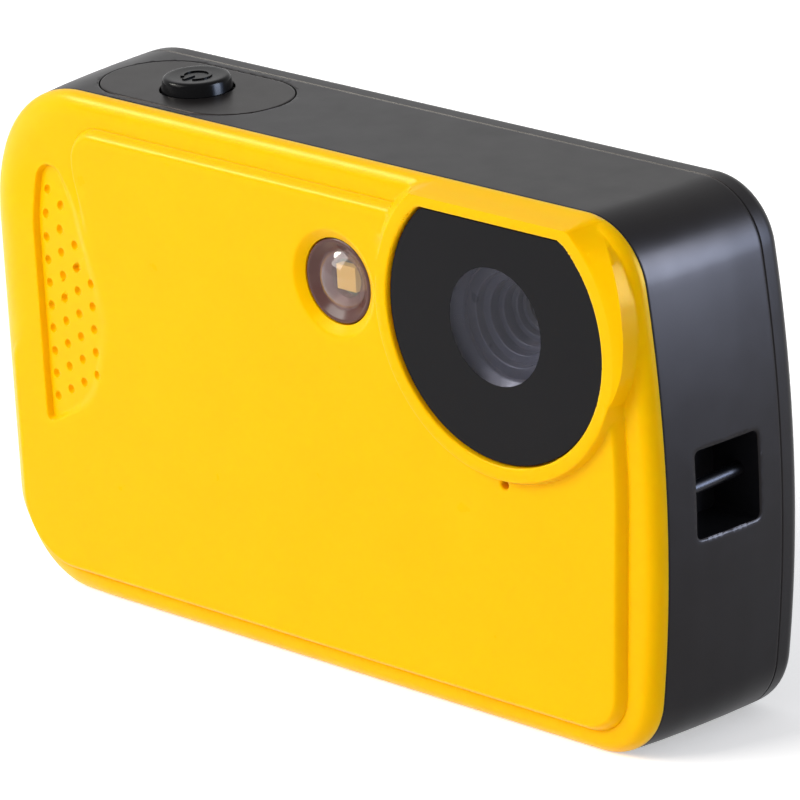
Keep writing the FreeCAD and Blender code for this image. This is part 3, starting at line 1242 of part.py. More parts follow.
def build():
    """Every node's name and shape."""
    holder, dome, chip, lamp_board = lamp_parts()
    front = WINDOW_SINK + WINDOW_THICK + BAFFLE_LENGTH
    nodes = {
        "front_shell": front_shell(),
        "mid_frame": mid_frame(),
        "rear_cover": rear_cover(),
        "front_seal": front_seal(),
        "rear_seal": rear_seal(),
        "lens_window": lens_window(),
        "light_baffle": light_baffle(),
        "lens_barrel": lens_barrel(),
        "lens_elements": Part.makeCompound([
            lens_element(front, FRONT_BULGE),
            lens_element(front + BARREL_LENGTH - ELEMENT_THICK, REAR_BULGE),
        ]),
        "lens_holder": lens_holder(),
        "ir_filter": ir_filter(),
        "image_sensor": image_sensor(),
        "lamp_holder": holder,
        "lamp_dome": dome,
        "lamp_chip": chip,
        "lamp_board": lamp_board,
        "top_plate": top_plate(),
        "shutter_button": shutter_button(),
        "shutter_clip": shutter_clip(),
        "shutter_seal": shutter_seal(),
        "shutter_spring": shutter_spring(),
        "shutter_switch": shutter_switch(),
        "switch_board": switch_board(),
        "main_board": main_board(),
        "board_chips": board_chips(),
        "board_screws": board_screws(),
        "lcd_module": lcd_module(),
        "lcd_carrier": lcd_carrier(),
        "lcd_flex": lcd_flex(),
        "lcd_window": lcd_window(),
        "zoom_rocker": zoom_rocker(),
        "rocker_pin": rod_pin(),
        "key_mat": key_mat(),
        "key_domes": key_domes(),
        "key_board": key_board(),
        "io_board": io_board(),
        "usb_socket": usb_socket(),
        "card_socket": card_socket(),
        "memory_card": memory_card(),
        "battery_tray": battery_tray(),
        "lower_cell": cell(CELL_LOW_Z, False),
        "upper_cell": cell(CELL_LOW_Z + CELL_PITCH, True),
        "battery_contacts": battery_contacts(),
        "battery_door": battery_door(),
        "door_seal": door_seal(),
        "door_pin": door_pin(),
        "door_latch": door_latch(),
        "strap_bar": strap_bar(),
        "tripod_nut": tripod_nut(),
        "case_screws": case_screws(),
        "speaker": speaker(),
        "microphone": microphone(),
    }
    for name, x, z, r in KEYS:
        nodes[name] = round_key(x, z, r)
    return nodes


os.makedirs("parts", exist_ok=True)
for node, shape in build().items():
    if not shape.isValid():
        print("not valid:", node)
    print(node, len(shape.Solids), "solids, volume", round(shape.Volume, 1))
    shape.exportStep("parts/" + node + ".step")
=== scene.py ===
"""Looks of a compact waterproof digital camera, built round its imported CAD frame.

Lengths are written in millimetres and turned to metres when a mesh is made. A point is (x, depth, z):
x to the right of someone facing the lens, depth backwards from the front of the lens rim, z up.
"""

import logging
import math
from dataclasses import dataclass, field
from enum import Enum
from typing import Callable, Dict, List, Optional, Sequence, Tuple, Union

import bmesh
import bpy
import numpy as np
from mathutils import Matrix, Vector
from mathutils.geometry import delaunay_2d_cdt


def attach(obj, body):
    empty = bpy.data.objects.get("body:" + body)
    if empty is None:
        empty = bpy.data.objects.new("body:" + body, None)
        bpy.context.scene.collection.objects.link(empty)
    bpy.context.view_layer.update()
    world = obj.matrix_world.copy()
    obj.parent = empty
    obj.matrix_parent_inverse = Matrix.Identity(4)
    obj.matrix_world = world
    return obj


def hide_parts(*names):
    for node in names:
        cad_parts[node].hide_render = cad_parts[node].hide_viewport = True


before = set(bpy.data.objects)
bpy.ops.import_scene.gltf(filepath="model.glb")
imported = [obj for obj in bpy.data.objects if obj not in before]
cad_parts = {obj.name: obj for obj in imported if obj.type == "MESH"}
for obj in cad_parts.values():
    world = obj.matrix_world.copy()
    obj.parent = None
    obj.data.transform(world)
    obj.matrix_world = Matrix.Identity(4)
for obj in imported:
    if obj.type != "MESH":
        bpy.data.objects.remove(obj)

LOG = logging.getLogger("camera")
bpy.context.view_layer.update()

MM = 0.001
DEPTH_MIDDLE = 13.0        # depth of the body's middle, at y = 0

# Body, with the CAD's sizes but a tighter rear edge
HALF_WIDTH = 53.6
HEIGHT = 65.0
SIDE_FLARE = 1.8
MID_FLARE = 1.2
D_SPLIT = 4.2
D_MID = 12.5
D_SEAM = 21.8
D_REAR = 25.2
REAR_EDGE_R = 1.9
D_PAD = 1.0
D_BORDER = 2.2

# Lens bezel
LENS_X = 31.7
LENS_Z = 50.05
OPENING_R = 16.6
OPENING_TOP = 62.5
RIM_R = 18.3
RIM_TOP = 63.85

# Shutter plate, strap slot, side door
BUTTON_X = -27.55
D_BUTTON = 12.95
SLOT_Z = 32.1
D_SLOT = 13.0
SLOT_FLOOR = 48.2
DOOR_FLOOR = -52.3
BAY_INNER = -49.2
PLATE = (27.1, 15.0)                # length and width
SEAT = (6.0, 19.4, 5.6, 49.7)       # depths and heights of the door's seat
HINGE_X = -52.6
HINGE_Z = 9.2
HINGE_ENDS = (6.2, 19.2)
POCKET_X = (-54.15, -53.1)          # across, the ends of the pocket for the latch's tongue

# Lamp beside the lens, microphone's hole
LAMP_X = 5.7
LAMP_Z = 50.1
LAMP_HOLE_R = 5.3
MIC_X = 31.5
MIC_Z = 30.8
MIC_HOLE_R = 0.6

# Rear keys and zoom rocker
KEY_TOP = 26.0
ROCKER_X = -34.0
ROCKER_Z = 54.3
ROCKER = (13.0, 5.6)                # length and width
ROCKER_PAD = 4.2                    # from its middle to each end's pad
COVER_INNER = 22.6

Array = np.ndarray


# Small maths

def smoothstep(t: Array) -> Array:
    """Ease curve from 0 to 1.

    Args:
        t: Values; those outside 0 to 1 are clipped.

    Returns:
        The eased values.
    """
    t = np.clip(t, 0.0, 1.0)
    return t * t * (3.0 - 2.0 * t)


def smooth_min(a: Array, b: Array, k: float) -> Array:
    """Smaller of two surfaces with the corner between them rounded over k."""
    h = np.clip(0.5 + 0.5 * (b - a) / k, 0.0, 1.0)
    return b * (1 - h) + a * h - k * h * (1 - h)


def smooth_max(a: Array, b: Array, k: float) -> Array:
    """Larger of two surfaces with the corner between them rounded over k."""
    return -smooth_min(-a, -b, k)


def signed_distance(points: Array, loop: Array) -> Array:
    """Distance from points to a closed polygon, positive inside.

    Args:
        points: Points as rows of two numbers.
        loop: The polygon's corners in order.

    Returns:
        One distance for each point.
    """
    start = loop
    edge = np.roll(loop, -1, axis=0) - loop
    length2 = np.maximum((edge ** 2).sum(1), 1e-12)
    result = np.empty(len(points))
    for first in range(0, len(points), 4000):
        p = points[first:first + 4000, None, :]
        rel = p - start[None]
        share = np.clip((rel * edge[None]).sum(2) / length2[None], 0, 1)
        near = ((rel - share[..., None] * edge[None]) ** 2).sum(2).min(1)
        end = start + edge
        above = (start[None, :, 1] > p[..., 1]) != (end[None, :, 1] > p[..., 1])
        slope = edge[None, :, 0] / np.where(edge[None, :, 1] == 0, 1e-12, edge[None, :, 1])
        crossing = p[..., 0] < start[None, :, 0] + (p[..., 1] - start[None, :, 1]) * slope
        inside = (above & crossing).sum(1) % 2 == 1
        result[first:first + 4000] = np.where(inside, 1.0, -1.0) * np.sqrt(near)
    return result


def circle(x: float, z: float, r: float, count: int) -> Array:
    """Points round a circle."""
    a = np.linspace(0, 2 * math.pi, count, endpoint=False)
    return np.c_[x + r * np.cos(a), z + r * np.sin(a)]


def arc_points(x: float, z: float, r: float, start: float, end: float, count: int) -> Array:
    """Points along an arc between two angles in degrees, without the last one."""
    a = np.radians(np.linspace(start, end, count, endpoint=False))
    return np.c_[x + r * np.cos(a), z + r * np.sin(a)]


def rounded_polygon(corners: Sequence[Tuple[float, float, float]], spacing: float = 0.8) -> Array:
    """Closed polygon whose corners are rounded.

    Args:
        corners: (x, z, radius) of each corner in order.
        spacing: Largest step along the straight runs.

    Returns:
        Points in order.
    """
    pts: List[Array] = []
    n = len(corners)
    for i in range(n):
        here = np.array(corners[i][:2])
        before = np.array(corners[i - 1][:2]) - here
        after = np.array(corners[(i + 1) % n][:2]) - here
        before /= np.linalg.norm(before)
        after /= np.linalg.norm(after)
        half = math.acos(float(np.clip(before @ after, -1, 1))) / 2
        radius = corners[i][2]
        middle = before + after
        centre = here + middle / np.linalg.norm(middle) * radius / math.sin(half)
        reach = radius / math.tan(half)
        a0 = here + before * reach - centre
        a1 = here + after * reach - centre
        t0 = math.atan2(a0[1], a0[0])
        turn = math.atan2(a1[1], a1[0]) - t0
        turn = (turn + math.pi) % (2 * math.pi) - math.pi
        steps = max(4, int(abs(turn) * max(radius, 1.0) / 0.5))
        angles = t0 + turn * np.linspace(0, 1, steps + 1)
        pts.append(centre + radius * np.c_[np.cos(angles), np.sin(angles)])
    out: List[Array] = []
    for i in range(n):
        out.append(pts[i])
        gap = pts[(i + 1) % n][0] - pts[i][-1]
        steps = int(np.linalg.norm(gap) / spacing)
        if steps > 1:
            t = np.linspace(0, 1, steps + 1)[1:-1, None]
            out.append(pts[i][-1] + gap * t)
    return np.vstack(out)


def stadium(x: float, z: float, length: float, width: float, grow: float = 0.0, count: int = 28) -> Array:
    """Outline of a slot with round ends, lying along the first axis.

    Args:
        x: Its middle across.
        z: Its middle on the other axis.
        length: From end to end.
        width: Across the straight sides.
        grow: How much further out every side lies.
        count: Points round each end.

    Returns:
        Points in order.
    """
    r = width / 2 + grow
    half = (length - width) / 2
    right = arc_points(x + half, z, r, -90, 90, count)
    left = arc_points(x - half, z, r, 90, 270, count)
    steps = np.linspace(0, 1, 18, endpoint=False)[:, None]
    top = np.array([x + half, z + r]) + steps * np.array([-2 * half, 0])
    bottom = np.array([x - half, z - r]) + steps * np.array([2 * half, 0])
    return np.vstack([right, top, left, bottom])


def rounded_rect(x0: float, x1: float, z0: float, z1: float, r: float, grow: float = 0.0) -> Array:
    """Outline of a rectangle with round corners."""
    a, b, c, d = x0 - grow, x1 + grow, z0 - grow, z1 + grow
    return rounded_polygon([(a, c, r + grow), (b, c, r + grow), (b, d, r + grow), (a, d, r + grow)], 0.7)


def at_depth(loop: Array, depth: Union[float, Array]) -> Array:
    """Points of a flat outline of x and z, set at a depth."""
    return np.c_[loop[:, 0], np.broadcast_to(depth, len(loop)), loop[:, 1]]


def at_height(loop: Array, height: float) -> Array:
    """Points of a flat outline of x and depth, set at a height."""
    return np.c_[loop[:, 0], loop[:, 1], np.full(len(loop), height)]


def at_across(loop: Array, x: float) -> Array:
    """Points of a flat outline of depth and height, set at a place across."""
    return np.c_[np.full(len(loop), x), loop[:, 0], loop[:, 1]]


# Body outline

@dataclass(frozen=True)
class BodyOutline:
    """The body's closed outline: straight grip side, bowed lens side, four corner radii."""

    bow: float = 3.0
    r_tl: float = 15.0
    r_bl: float = 11.0
    r_tr: float = 8.5
    r_br: float = 9.0
    low: float = -0.05

    def _frame(self, inset: float, flare: float) -> Dict[str, float]:
        """Finds the centres, radii and joints of the outline's arcs.

        Args:
            inset: How far inside the outline they lie.
            flare: How much wider each side is.

        Returns:
            Sizes by name. tl, bl, tr and br are the corners, bow is the lens side's long arc, and at and ab
            are the angles in degrees at which it meets the corners.
        """
        middle = HEIGHT / 2
        bow_r = (middle ** 2 + self.bow ** 2) / (2 * self.bow)
        bow_x = HALF_WIDTH + flare - bow_r
        bow_r -= inset
        top = HEIGHT - inset
        low = self.low + inset
        r = {k: getattr(self, "r_" + k) - inset for k in ("tl", "bl", "tr", "br")}
        rise_t = top - r["tr"] - middle
        rise_b = low + r["br"] - middle
        tr_x = bow_x + math.sqrt((bow_r - r["tr"]) ** 2 - rise_t ** 2)
        br_x = bow_x + math.sqrt((bow_r - r["br"]) ** 2 - rise_b ** 2)
        return dict(left=-(HALF_WIDTH + flare) + inset, top=top, low=low, middle=middle, bow_r=bow_r,
                    bow_x=bow_x, tr_x=tr_x, br_x=br_x,
                    at=math.degrees(math.atan2(rise_t, tr_x - bow_x)),
                    ab=math.degrees(math.atan2(rise_b, br_x - bow_x)), **{"r_" + k: v for k, v in r.items()})

    def loop(self, inset: float = 0.0, flare: float = 0.0, fine: int = 1) -> Array:
        """Points round the outline, clockwise from the grip side's top corner.

        Args:
            inset: How far inside the outline the points lie.
            flare: How much wider each side is.
            fine: Multiplies the number of points.

        Returns:
            Points as rows of x and z. Their number doesn't depend on inset or flare.
        """
        f = self._frame(inset, flare)

        def run(a: Tuple[float, float], b: Tuple[float, float], count: int) -> Array:
            """Points from a to b, without b."""
            t = np.linspace(0, 1, count * fine, endpoint=False)[:, None]
            return np.array(a) * (1 - t) + np.array(b) * t

        cx_tl, cz_tl = f["left"] + f["r_tl"], f["top"] - f["r_tl"]
        cx_bl, cz_bl = f["left"] + f["r_bl"], f["low"] + f["r_bl"]
        cz_tr, cz_br = f["top"] - f["r_tr"], f["low"] + f["r_br"]
        return np.vstack([
            arc_points(cx_tl, cz_tl, f["r_tl"], 180, 90, 26 * fine),
            run((cx_tl, f["top"]), (f["tr_x"], f["top"]), 84),
            arc_points(f["tr_x"], cz_tr, f["r_tr"], 90, f["at"], 18 * fine),
            arc_points(f["bow_x"], f["middle"], f["bow_r"], f["at"], f["ab"], 48 * fine),
            arc_points(f["br_x"], cz_br, f["r_br"], f["ab"], -90, 18 * fine),
            run((f["br_x"], f["low"]), (cx_bl, f["low"]), 84),
            arc_points(cx_bl, cz_bl, f["r_bl"], 270, 180, 20 * fine),
            run((f["left"], cz_bl), (f["left"], cz_tl), 30)])

    def inset_of(self, x: Array, z: Array, flare: float = 0.0) -> Array:
        """How far inside the outline points lie.

        Args:
            x: Places across.
            z: Heights.
            flare: How much wider each side is.

        Returns:
            Distances, positive inside.
        """
        f = self._frame(0.0, flare)
        s = np.minimum(x - f["left"], f["top"] - z)
        s = np.minimum(s, z - f["low"])
        s = np.minimum(s, f["bow_r"] - np.hypot(x - f["bow_x"], z - f["middle"]))
        cx, cz, r = f["left"] + f["r_tl"], f["top"] - f["r_tl"], f["r_tl"]
        s = np.where((x < cx) & (z > cz), r - np.hypot(x - cx, z - cz), s)
        cx, cz, r = f["left"] + f["r_bl"], f["low"] + f["r_bl"], f["r_bl"]
        s = np.where((x < cx) & (z < cz), r - np.hypot(x - cx, z - cz), s)
        cx, cz, r = f["tr_x"], f["top"] - f["r_tr"], f["r_tr"]
        angle = np.degrees(np.arctan2(z - cz, x - cx))
        s = np.where((angle > f["at"]) & (x > cx), r - np.hypot(x - cx, z - cz), s)
        cx, cz, r = f["br_x"], f["low"] + f["r_br"], f["r_br"]
        angle = np.degrees(np.arctan2(z - cz, x - cx))
        return np.where((angle < f["ab"]) & (x > cx), r - np.hypot(x - cx, z - cz), s)


OUTLINE = BodyOutline()


# Mesh building

class MeshBuilder:
    """Collects patches in millimetres and turns them into one object."""

    def __init__(self) -> None:
        """Starts empty."""
        self.verts: List[Array] = []
        self.faces: List[Tuple[int, ...]] = []
        self.mats: List[int] = []
        self.count = 0

    def add(self, verts: Array, faces: Sequence[Sequence[int]], mat: int = 0, flip: bool = False) -> None:
        """Adds a patch.

        Args:
            verts: Points as rows of x, depth, z.
            faces: Corner numbers within this patch.
            mat: Material index.
            flip: Turns the faces over.
        """
        base = self.count
        self.verts.append(np.asarray(verts, float))
        self.count += len(verts)
        for face in faces:
            ids = [base + int(i) for i in face]
            self.faces.append(tuple(reversed(ids)) if flip else tuple(ids))
            self.mats.append(mat)

    def strip(self, loops: Sequence[Array], mat: int = 0, flip: bool = False, closed: bool = True) -> None:
        """Joins loops of equal length with quads.

        Args:
            loops: Loops as rows of x, depth, z.
            mat: Material index.
            flip: Turns the faces over.
            closed: Joins the last point of a loop with its first.
        """
        n = len(loops[0])
        verts = np.vstack(loops)
        faces = []
        last = n if closed else n - 1
        for k in range(len(loops) - 1):
            for i in range(last):
                j = (i + 1) % n
                faces.append((k * n + i, k * n + j, (k + 1) * n + j, (k + 1) * n + i))
        self.add(verts, faces, mat, flip)

    def fan(self, loop: Array, mat: int = 0, flip: bool = False) -> None:
        """Closes a loop with triangles to its middle.

        Args:
            loop: Points as rows of x, depth, z.
            mat: Material index.
            flip: Turns the faces over.
        """
        n = len(loop)
        verts = np.vstack([loop, loop.mean(0)])
        self.add(verts, [(i, (i + 1) % n, n) for i in range(n)], mat, flip)

    def lathe(self, profile: Sequence[Tuple[float, float]], centre: Tuple[float, float, float], axis: str,
              segments: int = 64, mat: int = 0, flip: bool = False) -> None:
        """Turns a profile round an axis.

        Args:
            profile: (radius, place along the axis) points; a radius of 0 closes an end.
            centre: x, depth, z of the axis' zero.
            axis: "d" for front to back, "z" for up, "x" for across.
            segments: Number of steps round.
            mat: Material index.
            flip: Turns the faces over.
        """
        a = np.linspace(0, 2 * math.pi, segments, endpoint=False)
        c, s = np.cos(a), np.sin(a)
        loops = []
        for r, h in profile:
            r = max(r, 1e-4)
            u, v, w = r * c, r * s, np.full(segments, h)
            if axis == "d":
                loops.append(np.c_[centre[0] + u, centre[1] + w, centre[2] + v])
            elif axis == "z":
                loops.append(np.c_[centre[0] + u, centre[1] + v, centre[2] + w])
            else:
                loops.append(np.c_[centre[0] + w, centre[1] + u, centre[2] + v])
        self.strip(loops, mat, flip)

    def box(self, x0: float, x1: float, d0: float, d1: float, z0: float, z1: float, mat: int = 0,
            flip: bool = False) -> None:
        """Adds a plain box.

        Args:
            x0: Its low end across.
            x1: Its high end across.
            d0: Its front.
            d1: Its back.
            z0: Its foot.
            z1: Its top.
            mat: Material index.
            flip: Makes the inside of a box instead.
        """
        v = np.array([(x, d, z) for x in (x0, x1) for d in (d0, d1) for z in (z0, z1)])
        faces = [(0, 1, 3, 2), (4, 6, 7, 5), (0, 4, 5, 1), (2, 3, 7, 6), (0, 2, 6, 4), (1, 5, 7, 3)]
        self.add(v, faces, mat, flip)

    def build(self, name: str, materials: Sequence[bpy.types.Material], sharp: float = 38.0,
              weld: float = 0.004) -> bpy.types.Object:
        """Makes the object.

        Args:
            name: The object's name.
            materials: Its materials in index order.
            sharp: Edges bent by more degrees than this stay sharp.
            weld: Points closer than this are joined.

        Returns:
            The object, linked to the scene.
        """
        co = np.vstack(self.verts)
        world = np.c_[co[:, 0], co[:, 1] - DEPTH_MIDDLE, co[:, 2]] * MM
        mesh = bpy.data.meshes.new(name)
        mesh.from_pydata(world.tolist(), [], self.faces)
        for m in materials:
            mesh.materials.append(m)
        mesh.polygons.foreach_set("material_index", self.mats)
        bm = bmesh.new()
        bm.from_mesh(mesh)
        bmesh.ops.remove_doubles(bm, verts=bm.verts, dist=weld * MM)
        bmesh.ops.dissolve_degenerate(bm, edges=bm.edges, dist=0.0005 * MM)
        bm.to_mesh(mesh)
        bm.free()
        mesh.shade_smooth()
        mesh.set_sharp_from_angle(angle=math.radians(sharp))
        obj = bpy.data.objects.new(name, mesh)
        bpy.context.scene.collection.objects.link(obj)
        LOG.info("%s: %d faces", name, len(mesh.polygons))
        return obj


def stand_in(obj: bpy.types.Object, name: str, body: str = "camera_body") -> bpy.types.Object:
    """Lets a finished piece move with a body, in place of a CAD node.

    Args:
        obj: The piece.
        name: The CAD node.
        body: The body.

    Returns:
        The piece.
    """
    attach(obj, body)
    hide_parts(name)
    return obj


class Sheet:
    """A surface laid out flat from contours and grid points, cut into triangles, then bent into place."""

    def __init__(self, spacing: float = 0.05) -> None:
        """Starts empty.

        Args:
            spacing: Loose points closer than about this to others are left out.
        """
        self.points: List[Tuple[float, float]] = []
        self.edges: List[Tuple[int, int]] = []
        self.spacing = spacing
        self.taken: Dict[Tuple[int, int], int] = {}

    def loop(self, pts: Array, closed: bool = True) -> None:
        """Adds a contour that the triangles follow.

        Args:
            pts: Flat points in order.
            closed: Joins the last point with the first.
        """
        first = len(self.points)
        self.points.extend((float(a), float(b)) for a, b in pts)
        n = len(pts)
        self.edges.extend((first + i, first + (i + 1) % n) for i in range(n if closed else n - 1))
        for i, (a, b) in enumerate(pts):
            self.taken[(round(a / self.spacing), round(b / self.spacing))] = first + i

    def scatter(self, pts: Array) -> None:
        """Adds loose points, leaving out those that crowd others.

        Args:
            pts: Flat points.
        """
        for a, b in pts:
            key = (round(a / self.spacing), round(b / self.spacing))
            if key in self.taken:
                continue
            self.taken[key] = len(self.points)
            self.points.append((float(a), float(b)))

    def triangles(self, keep: Callable[[Array, Array], Array]) -> Tuple[Array, Array]:
        """Cuts the sheet into triangles.

        Args:
            keep: Says for the triangles' middles which of them belong to the sheet.

        Returns:
            Flat points and triangles.
        """
        coords = [Vector(p) for p in self.points]
        out = delaunay_2d_cdt(coords, self.edges, [], 0, 1e-5, False)
        verts = np.array([(v.x, v.y) for v in out[0]])
        tris = np.array([f for f in out[2] if len(f) == 3])
        mid = verts[tris].mean(1)
        kept = tris[keep(mid[:, 0], mid[:, 1])]
        used, order = np.unique(kept, return_inverse=True)
        return verts[used], order.reshape(kept.shape)


def grid_points(x0: float, x1: float, z0: float, z1: float, step: float) -> Array:
    """Staggered grid of points over a rectangle.

    Args:
        x0: Its low end on the first axis.
        x1: Its high end on the first axis.
        z0: Its low end on the second axis.
        z1: Its high end on the second axis.
        step: Distance between neighbours.

    Returns:
        Points as rows of two numbers.
    """
    xs = np.arange(x0, x1 + step / 2, step)
    zs = np.arange(z0, z1 + step / 2, step * 0.87)
    rows = [np.c_[xs + (step / 2 if i % 2 else 0.0), np.full(len(xs), z)] for i, z in enumerate(zs)]
    return np.vstack(rows)


# Materials

def linear(code: str) -> Tuple[float, float, float, float]:
    """Turns an sRGB hex colour into linear values.

    Args:
        code: Six hex digits, with or without a leading #.

    Returns:
        Red, green, blue and alpha.
    """
    code = code.lstrip("#")
    parts = [int(code[i:i + 2], 16) / 255 for i in (0, 2, 4)]
    red, green, blue = (c / 12.92 if c <= 0.04045 else ((c + 0.055) / 1.055) ** 2.4 for c in parts)
    return red, green, blue, 1.0


def node(tree: bpy.types.NodeTree, kind: str, inputs: Optional[Dict] = None, output: Union[int, str] = 0,
         **settings) -> Optional[bpy.types.NodeSocket]:
    """Adds a node with its settings, values and links.

    Args:
        tree: Tree that takes it.
        kind: Its type.
        inputs: By name or number, a value, a socket, or a list of sockets.
        output: Name or number of the wanted output.
        settings: The node's own settings.

    Returns:
        That output, or None where the node has none.
    """
    made = tree.nodes.new(kind)
    for key, value in settings.items():
        setattr(made, key, value)
    for key, value in (inputs or {}).items():
        for one in value if isinstance(value, list) else [value]:
            if isinstance(one, bpy.types.NodeSocket):
                tree.links.new(one, made.inputs[key])
            else:
                made.inputs[key].default_value = one
    return made.outputs[output] if len(made.outputs) else None


def start_material(name: str) -> Tuple[bpy.types.Material, bpy.types.NodeTree, bpy.types.NodeSocket]:
    """Makes an empty material.

    Args:
        name: Its name.

    Returns:
        The material, its tree, and the object's own coordinates in millimetres.
    """
    material = bpy.data.materials.new(name)
    material.use_nodes = True
    tree = material.node_tree
    tree.nodes.clear()
    own = node(tree, "ShaderNodeTexCoord", output="Object")
    at = node(tree, "ShaderNodeVectorMath", {0: own, 1: (1 / MM, 1 / MM, 1 / MM)}, operation="MULTIPLY")
    return material, tree, at


def mottled(tree: bpy.types.NodeTree, at: bpy.types.NodeSocket, size_mm: float, low: float = 0.0,
            high: float = 1.0, detail: float = 3.0, reach: float = 0.2) -> bpy.types.NodeSocket:
    """A value that wanders over the surface.

    Args:
        tree: Tree that takes the nodes.
        at: Coordinates in millimetres.
        size_mm: Size of its patches.
        low: Lowest value.
        high: Highest value.
        detail: Levels of finer patches.
        reach: How far round its middle the noise is used.

    Returns:
        The value.
    """
    patches = node(tree, "ShaderNodeTexNoise", {"Vector": at, "Scale": 1 / size_mm, "Detail": detail,
                                                "Roughness": 0.55})
    return node(tree, "ShaderNodeMapRange", {
        "Value": patches, "From Min": 0.5 - reach, "From Max": 0.5 + reach, "To Min": low, "To Max": high})


class Grain(Enum):
    """Fine textures of the surfaces."""

    SATIN = "satin"
    MATTE = "matte"
    BRUSHED = "brushed"


@dataclass(frozen=True)
class Finish:
    """How a moulded or coated surface looks.

    slot is the record's name for it, colour and alt its two shades, spread how far its roughness wanders,
    grain_mm the size and bump_mm the height of its grain, sheen_tint the colour of its reflections.
    """

    slot: str
    name: str
    colour: str
    alt: str
    roughness: float
    spread: float
    grain_mm: float
    bump_mm: float
    metallic: float = 0.0
    ior: float = 1.5
    subsurface: float = 0.0
    sheen_tint: str = "#FFFFFF"
    grain: Grain = Grain.SATIN


def moulded(finish: Finish) -> bpy.types.Material:
    """Makes a material with cloudy colour, fine grain and uneven gloss.

    Args:
        finish: Its colours and numbers.

    Returns:
        The material.
    """
    material, tree, at = start_material(finish.name)
    tint = node(tree, "ShaderNodeMix", {0: mottled(tree, at, 14.0, detail=4.0), 6: linear(finish.colour),
                                        7: linear(finish.alt)}, 2, data_type="RGBA")
    rough = mottled(tree, at, 5.0, finish.roughness - finish.spread, finish.roughness + finish.spread, 5.0,
                    0.25)
    along, detail, coarse = at, 2.0, 0.6
    if finish.grain is Grain.BRUSHED:
        along = node(tree, "ShaderNodeMapping", {"Vector": at, "Scale": (1.0, 1.0, 0.06)})
        detail, coarse = 3.0, 0.7
    fine = node(tree, "ShaderNodeTexNoise", {"Vector": along, "Scale": 1 / finish.grain_mm, "Detail": detail,
                                             "Roughness": coarse})
    if finish.grain is Grain.MATTE:
        cells = node(tree, "ShaderNodeTexVoronoi", {"Vector": at, "Scale": 1 / finish.grain_mm})
        fine = node(tree, "ShaderNodeMath", {0: fine, 1: cells}, operation="ADD")
    relief = node(tree, "ShaderNodeBump", {"Height": fine, "Distance": finish.bump_mm * MM, "Strength": 1.0})
    shader = node(tree, "ShaderNodeBsdfPrincipled", {
        "Base Color": tint, "Roughness": rough, "Metallic": finish.metallic, "IOR": finish.ior,
        "Specular Tint": linear(finish.sheen_tint), "Subsurface Weight": finish.subsurface,
        "Subsurface Scale": 0.0016, "Subsurface Radius": (1.0, 0.3, 0.05), "Normal": relief})
    node(tree, "ShaderNodeOutputMaterial", {"Surface": shader})
    return material


FINISHES = (
    # Polycarbonate, injection moulded in a fine satin tool: deep even yellow, lemon highlights, light goes
    # a little way in and comes out warmer
    Finish("shell_yellow", "polycarbonate_moulded_satin", "#FFC000", "#FFC300", 0.30, 0.03, 0.22, 0.001,
           ior=1.27, subsurface=0.35, sheen_tint="#FFD24A"),
    # ABS, moulded in a spark-eroded tool: near-black with broad soft highlights over a pimpled grain
    Finish("body_black", "abs_moulded_eroded", "#111114", "#141417", 0.34, 0.03, 0.16, 0.0024, ior=1.25,
           sheen_tint="#FFF3F1", grain=Grain.MATTE),
    # The same plastic in a smoother part of the tool: the plate reads a little tighter in gloss
    Finish("plate_black", "abs_moulded_fine", "#141313", "#171616", 0.32, 0.03, 0.16, 0.0028, ior=1.22,
           sheen_tint="#FFE6E3", grain=Grain.MATTE),
    # ABS from a polished tool, dark from handling: the blackest piece, with small sharp highlights
    Finish("button_black", "abs_moulded_polished", "#08080A", "#0A0A0C", 0.20, 0.04, 0.20, 0.001, ior=1.16),
    # Filled polycarbonate, moulded round a turned core: blue-grey, its step edges catch thin lights
    Finish("baffle_grey", "polycarbonate_moulded_turned_core", "#50525F", "#565865", 0.30, 0.04, 0.30, 0.0004,
           ior=1.6),
    # Silicone rubber, pressed: dull, dusty black
    Finish("rubber_black", "silicone_pressed_black", "#161616", "#1C1C1C", 0.62, 0.05, 0.30, 0.006),
    # Silicone rubber, pressed: dull mid grey
    Finish("rubber_grey", "silicone_pressed_grey", "#6B6E70", "#74777A", 0.65, 0.05, 0.30, 0.006),
    # ABS keys, moulded and left bare: light grey with a finger-worn soft sheen
    Finish("key_grey", "abs_moulded_bare", "#8C8F93", "#94979B", 0.38, 0.04, 0.18, 0.004),
    # Polycarbonate, moulded matte so that it kills stray light: flat dark grey-black
    Finish("optic_black", "polycarbonate_moulded_matte", "#1A1A1E", "#202025", 0.55, 0.05, 0.30, 0.007,
           grain=Grain.MATTE),
    # Smoked polycarbonate ring from a polished tool: red-brown, glossy
    Finish("lamp_black", "polycarbonate_moulded_smoked", "#4A2A26", "#54322D", 0.20, 0.04, 0.35, 0.0006,
           ior=1.4),
    # Glass-filled nylon, moulded: inner frames, plain mid grey with a dry sheen
    Finish("frame_grey", "nylon_moulded_filled", "#5A5C60", "#626468", 0.50, 0.05, 0.25, 0.005),
    # Epoxy, cast round the chips: charcoal, finely gritty
    Finish("chip_black", "epoxy_cast", "#151517", "#1B1B1D", 0.45, 0.05, 0.12, 0.006),
    # Steel, turned and blackened: dark metal with soft grey highlights
    Finish("steel_black", "steel_blackened", "#1D1D20", "#26262A", 0.34, 0.06, 0.15, 0.004, metallic=0.8),
    # Steel, drawn or stamped and left bright: cool grey with faint drawing lines
    Finish("steel", "steel_drawn", "#B9BBBD", "#C8CACC", 0.28, 0.08, 0.12, 0.003, metallic=1.0,
           grain=Grain.BRUSHED),
    # Brass, turned: warm pale yellow metal with fine tool lines
    Finish("nut_brass", "brass_turned", "#B79A5A", "#C6AA6C", 0.30, 0.08, 0.15, 0.003, metallic=1.0,
           grain=Grain.BRUSHED),
)


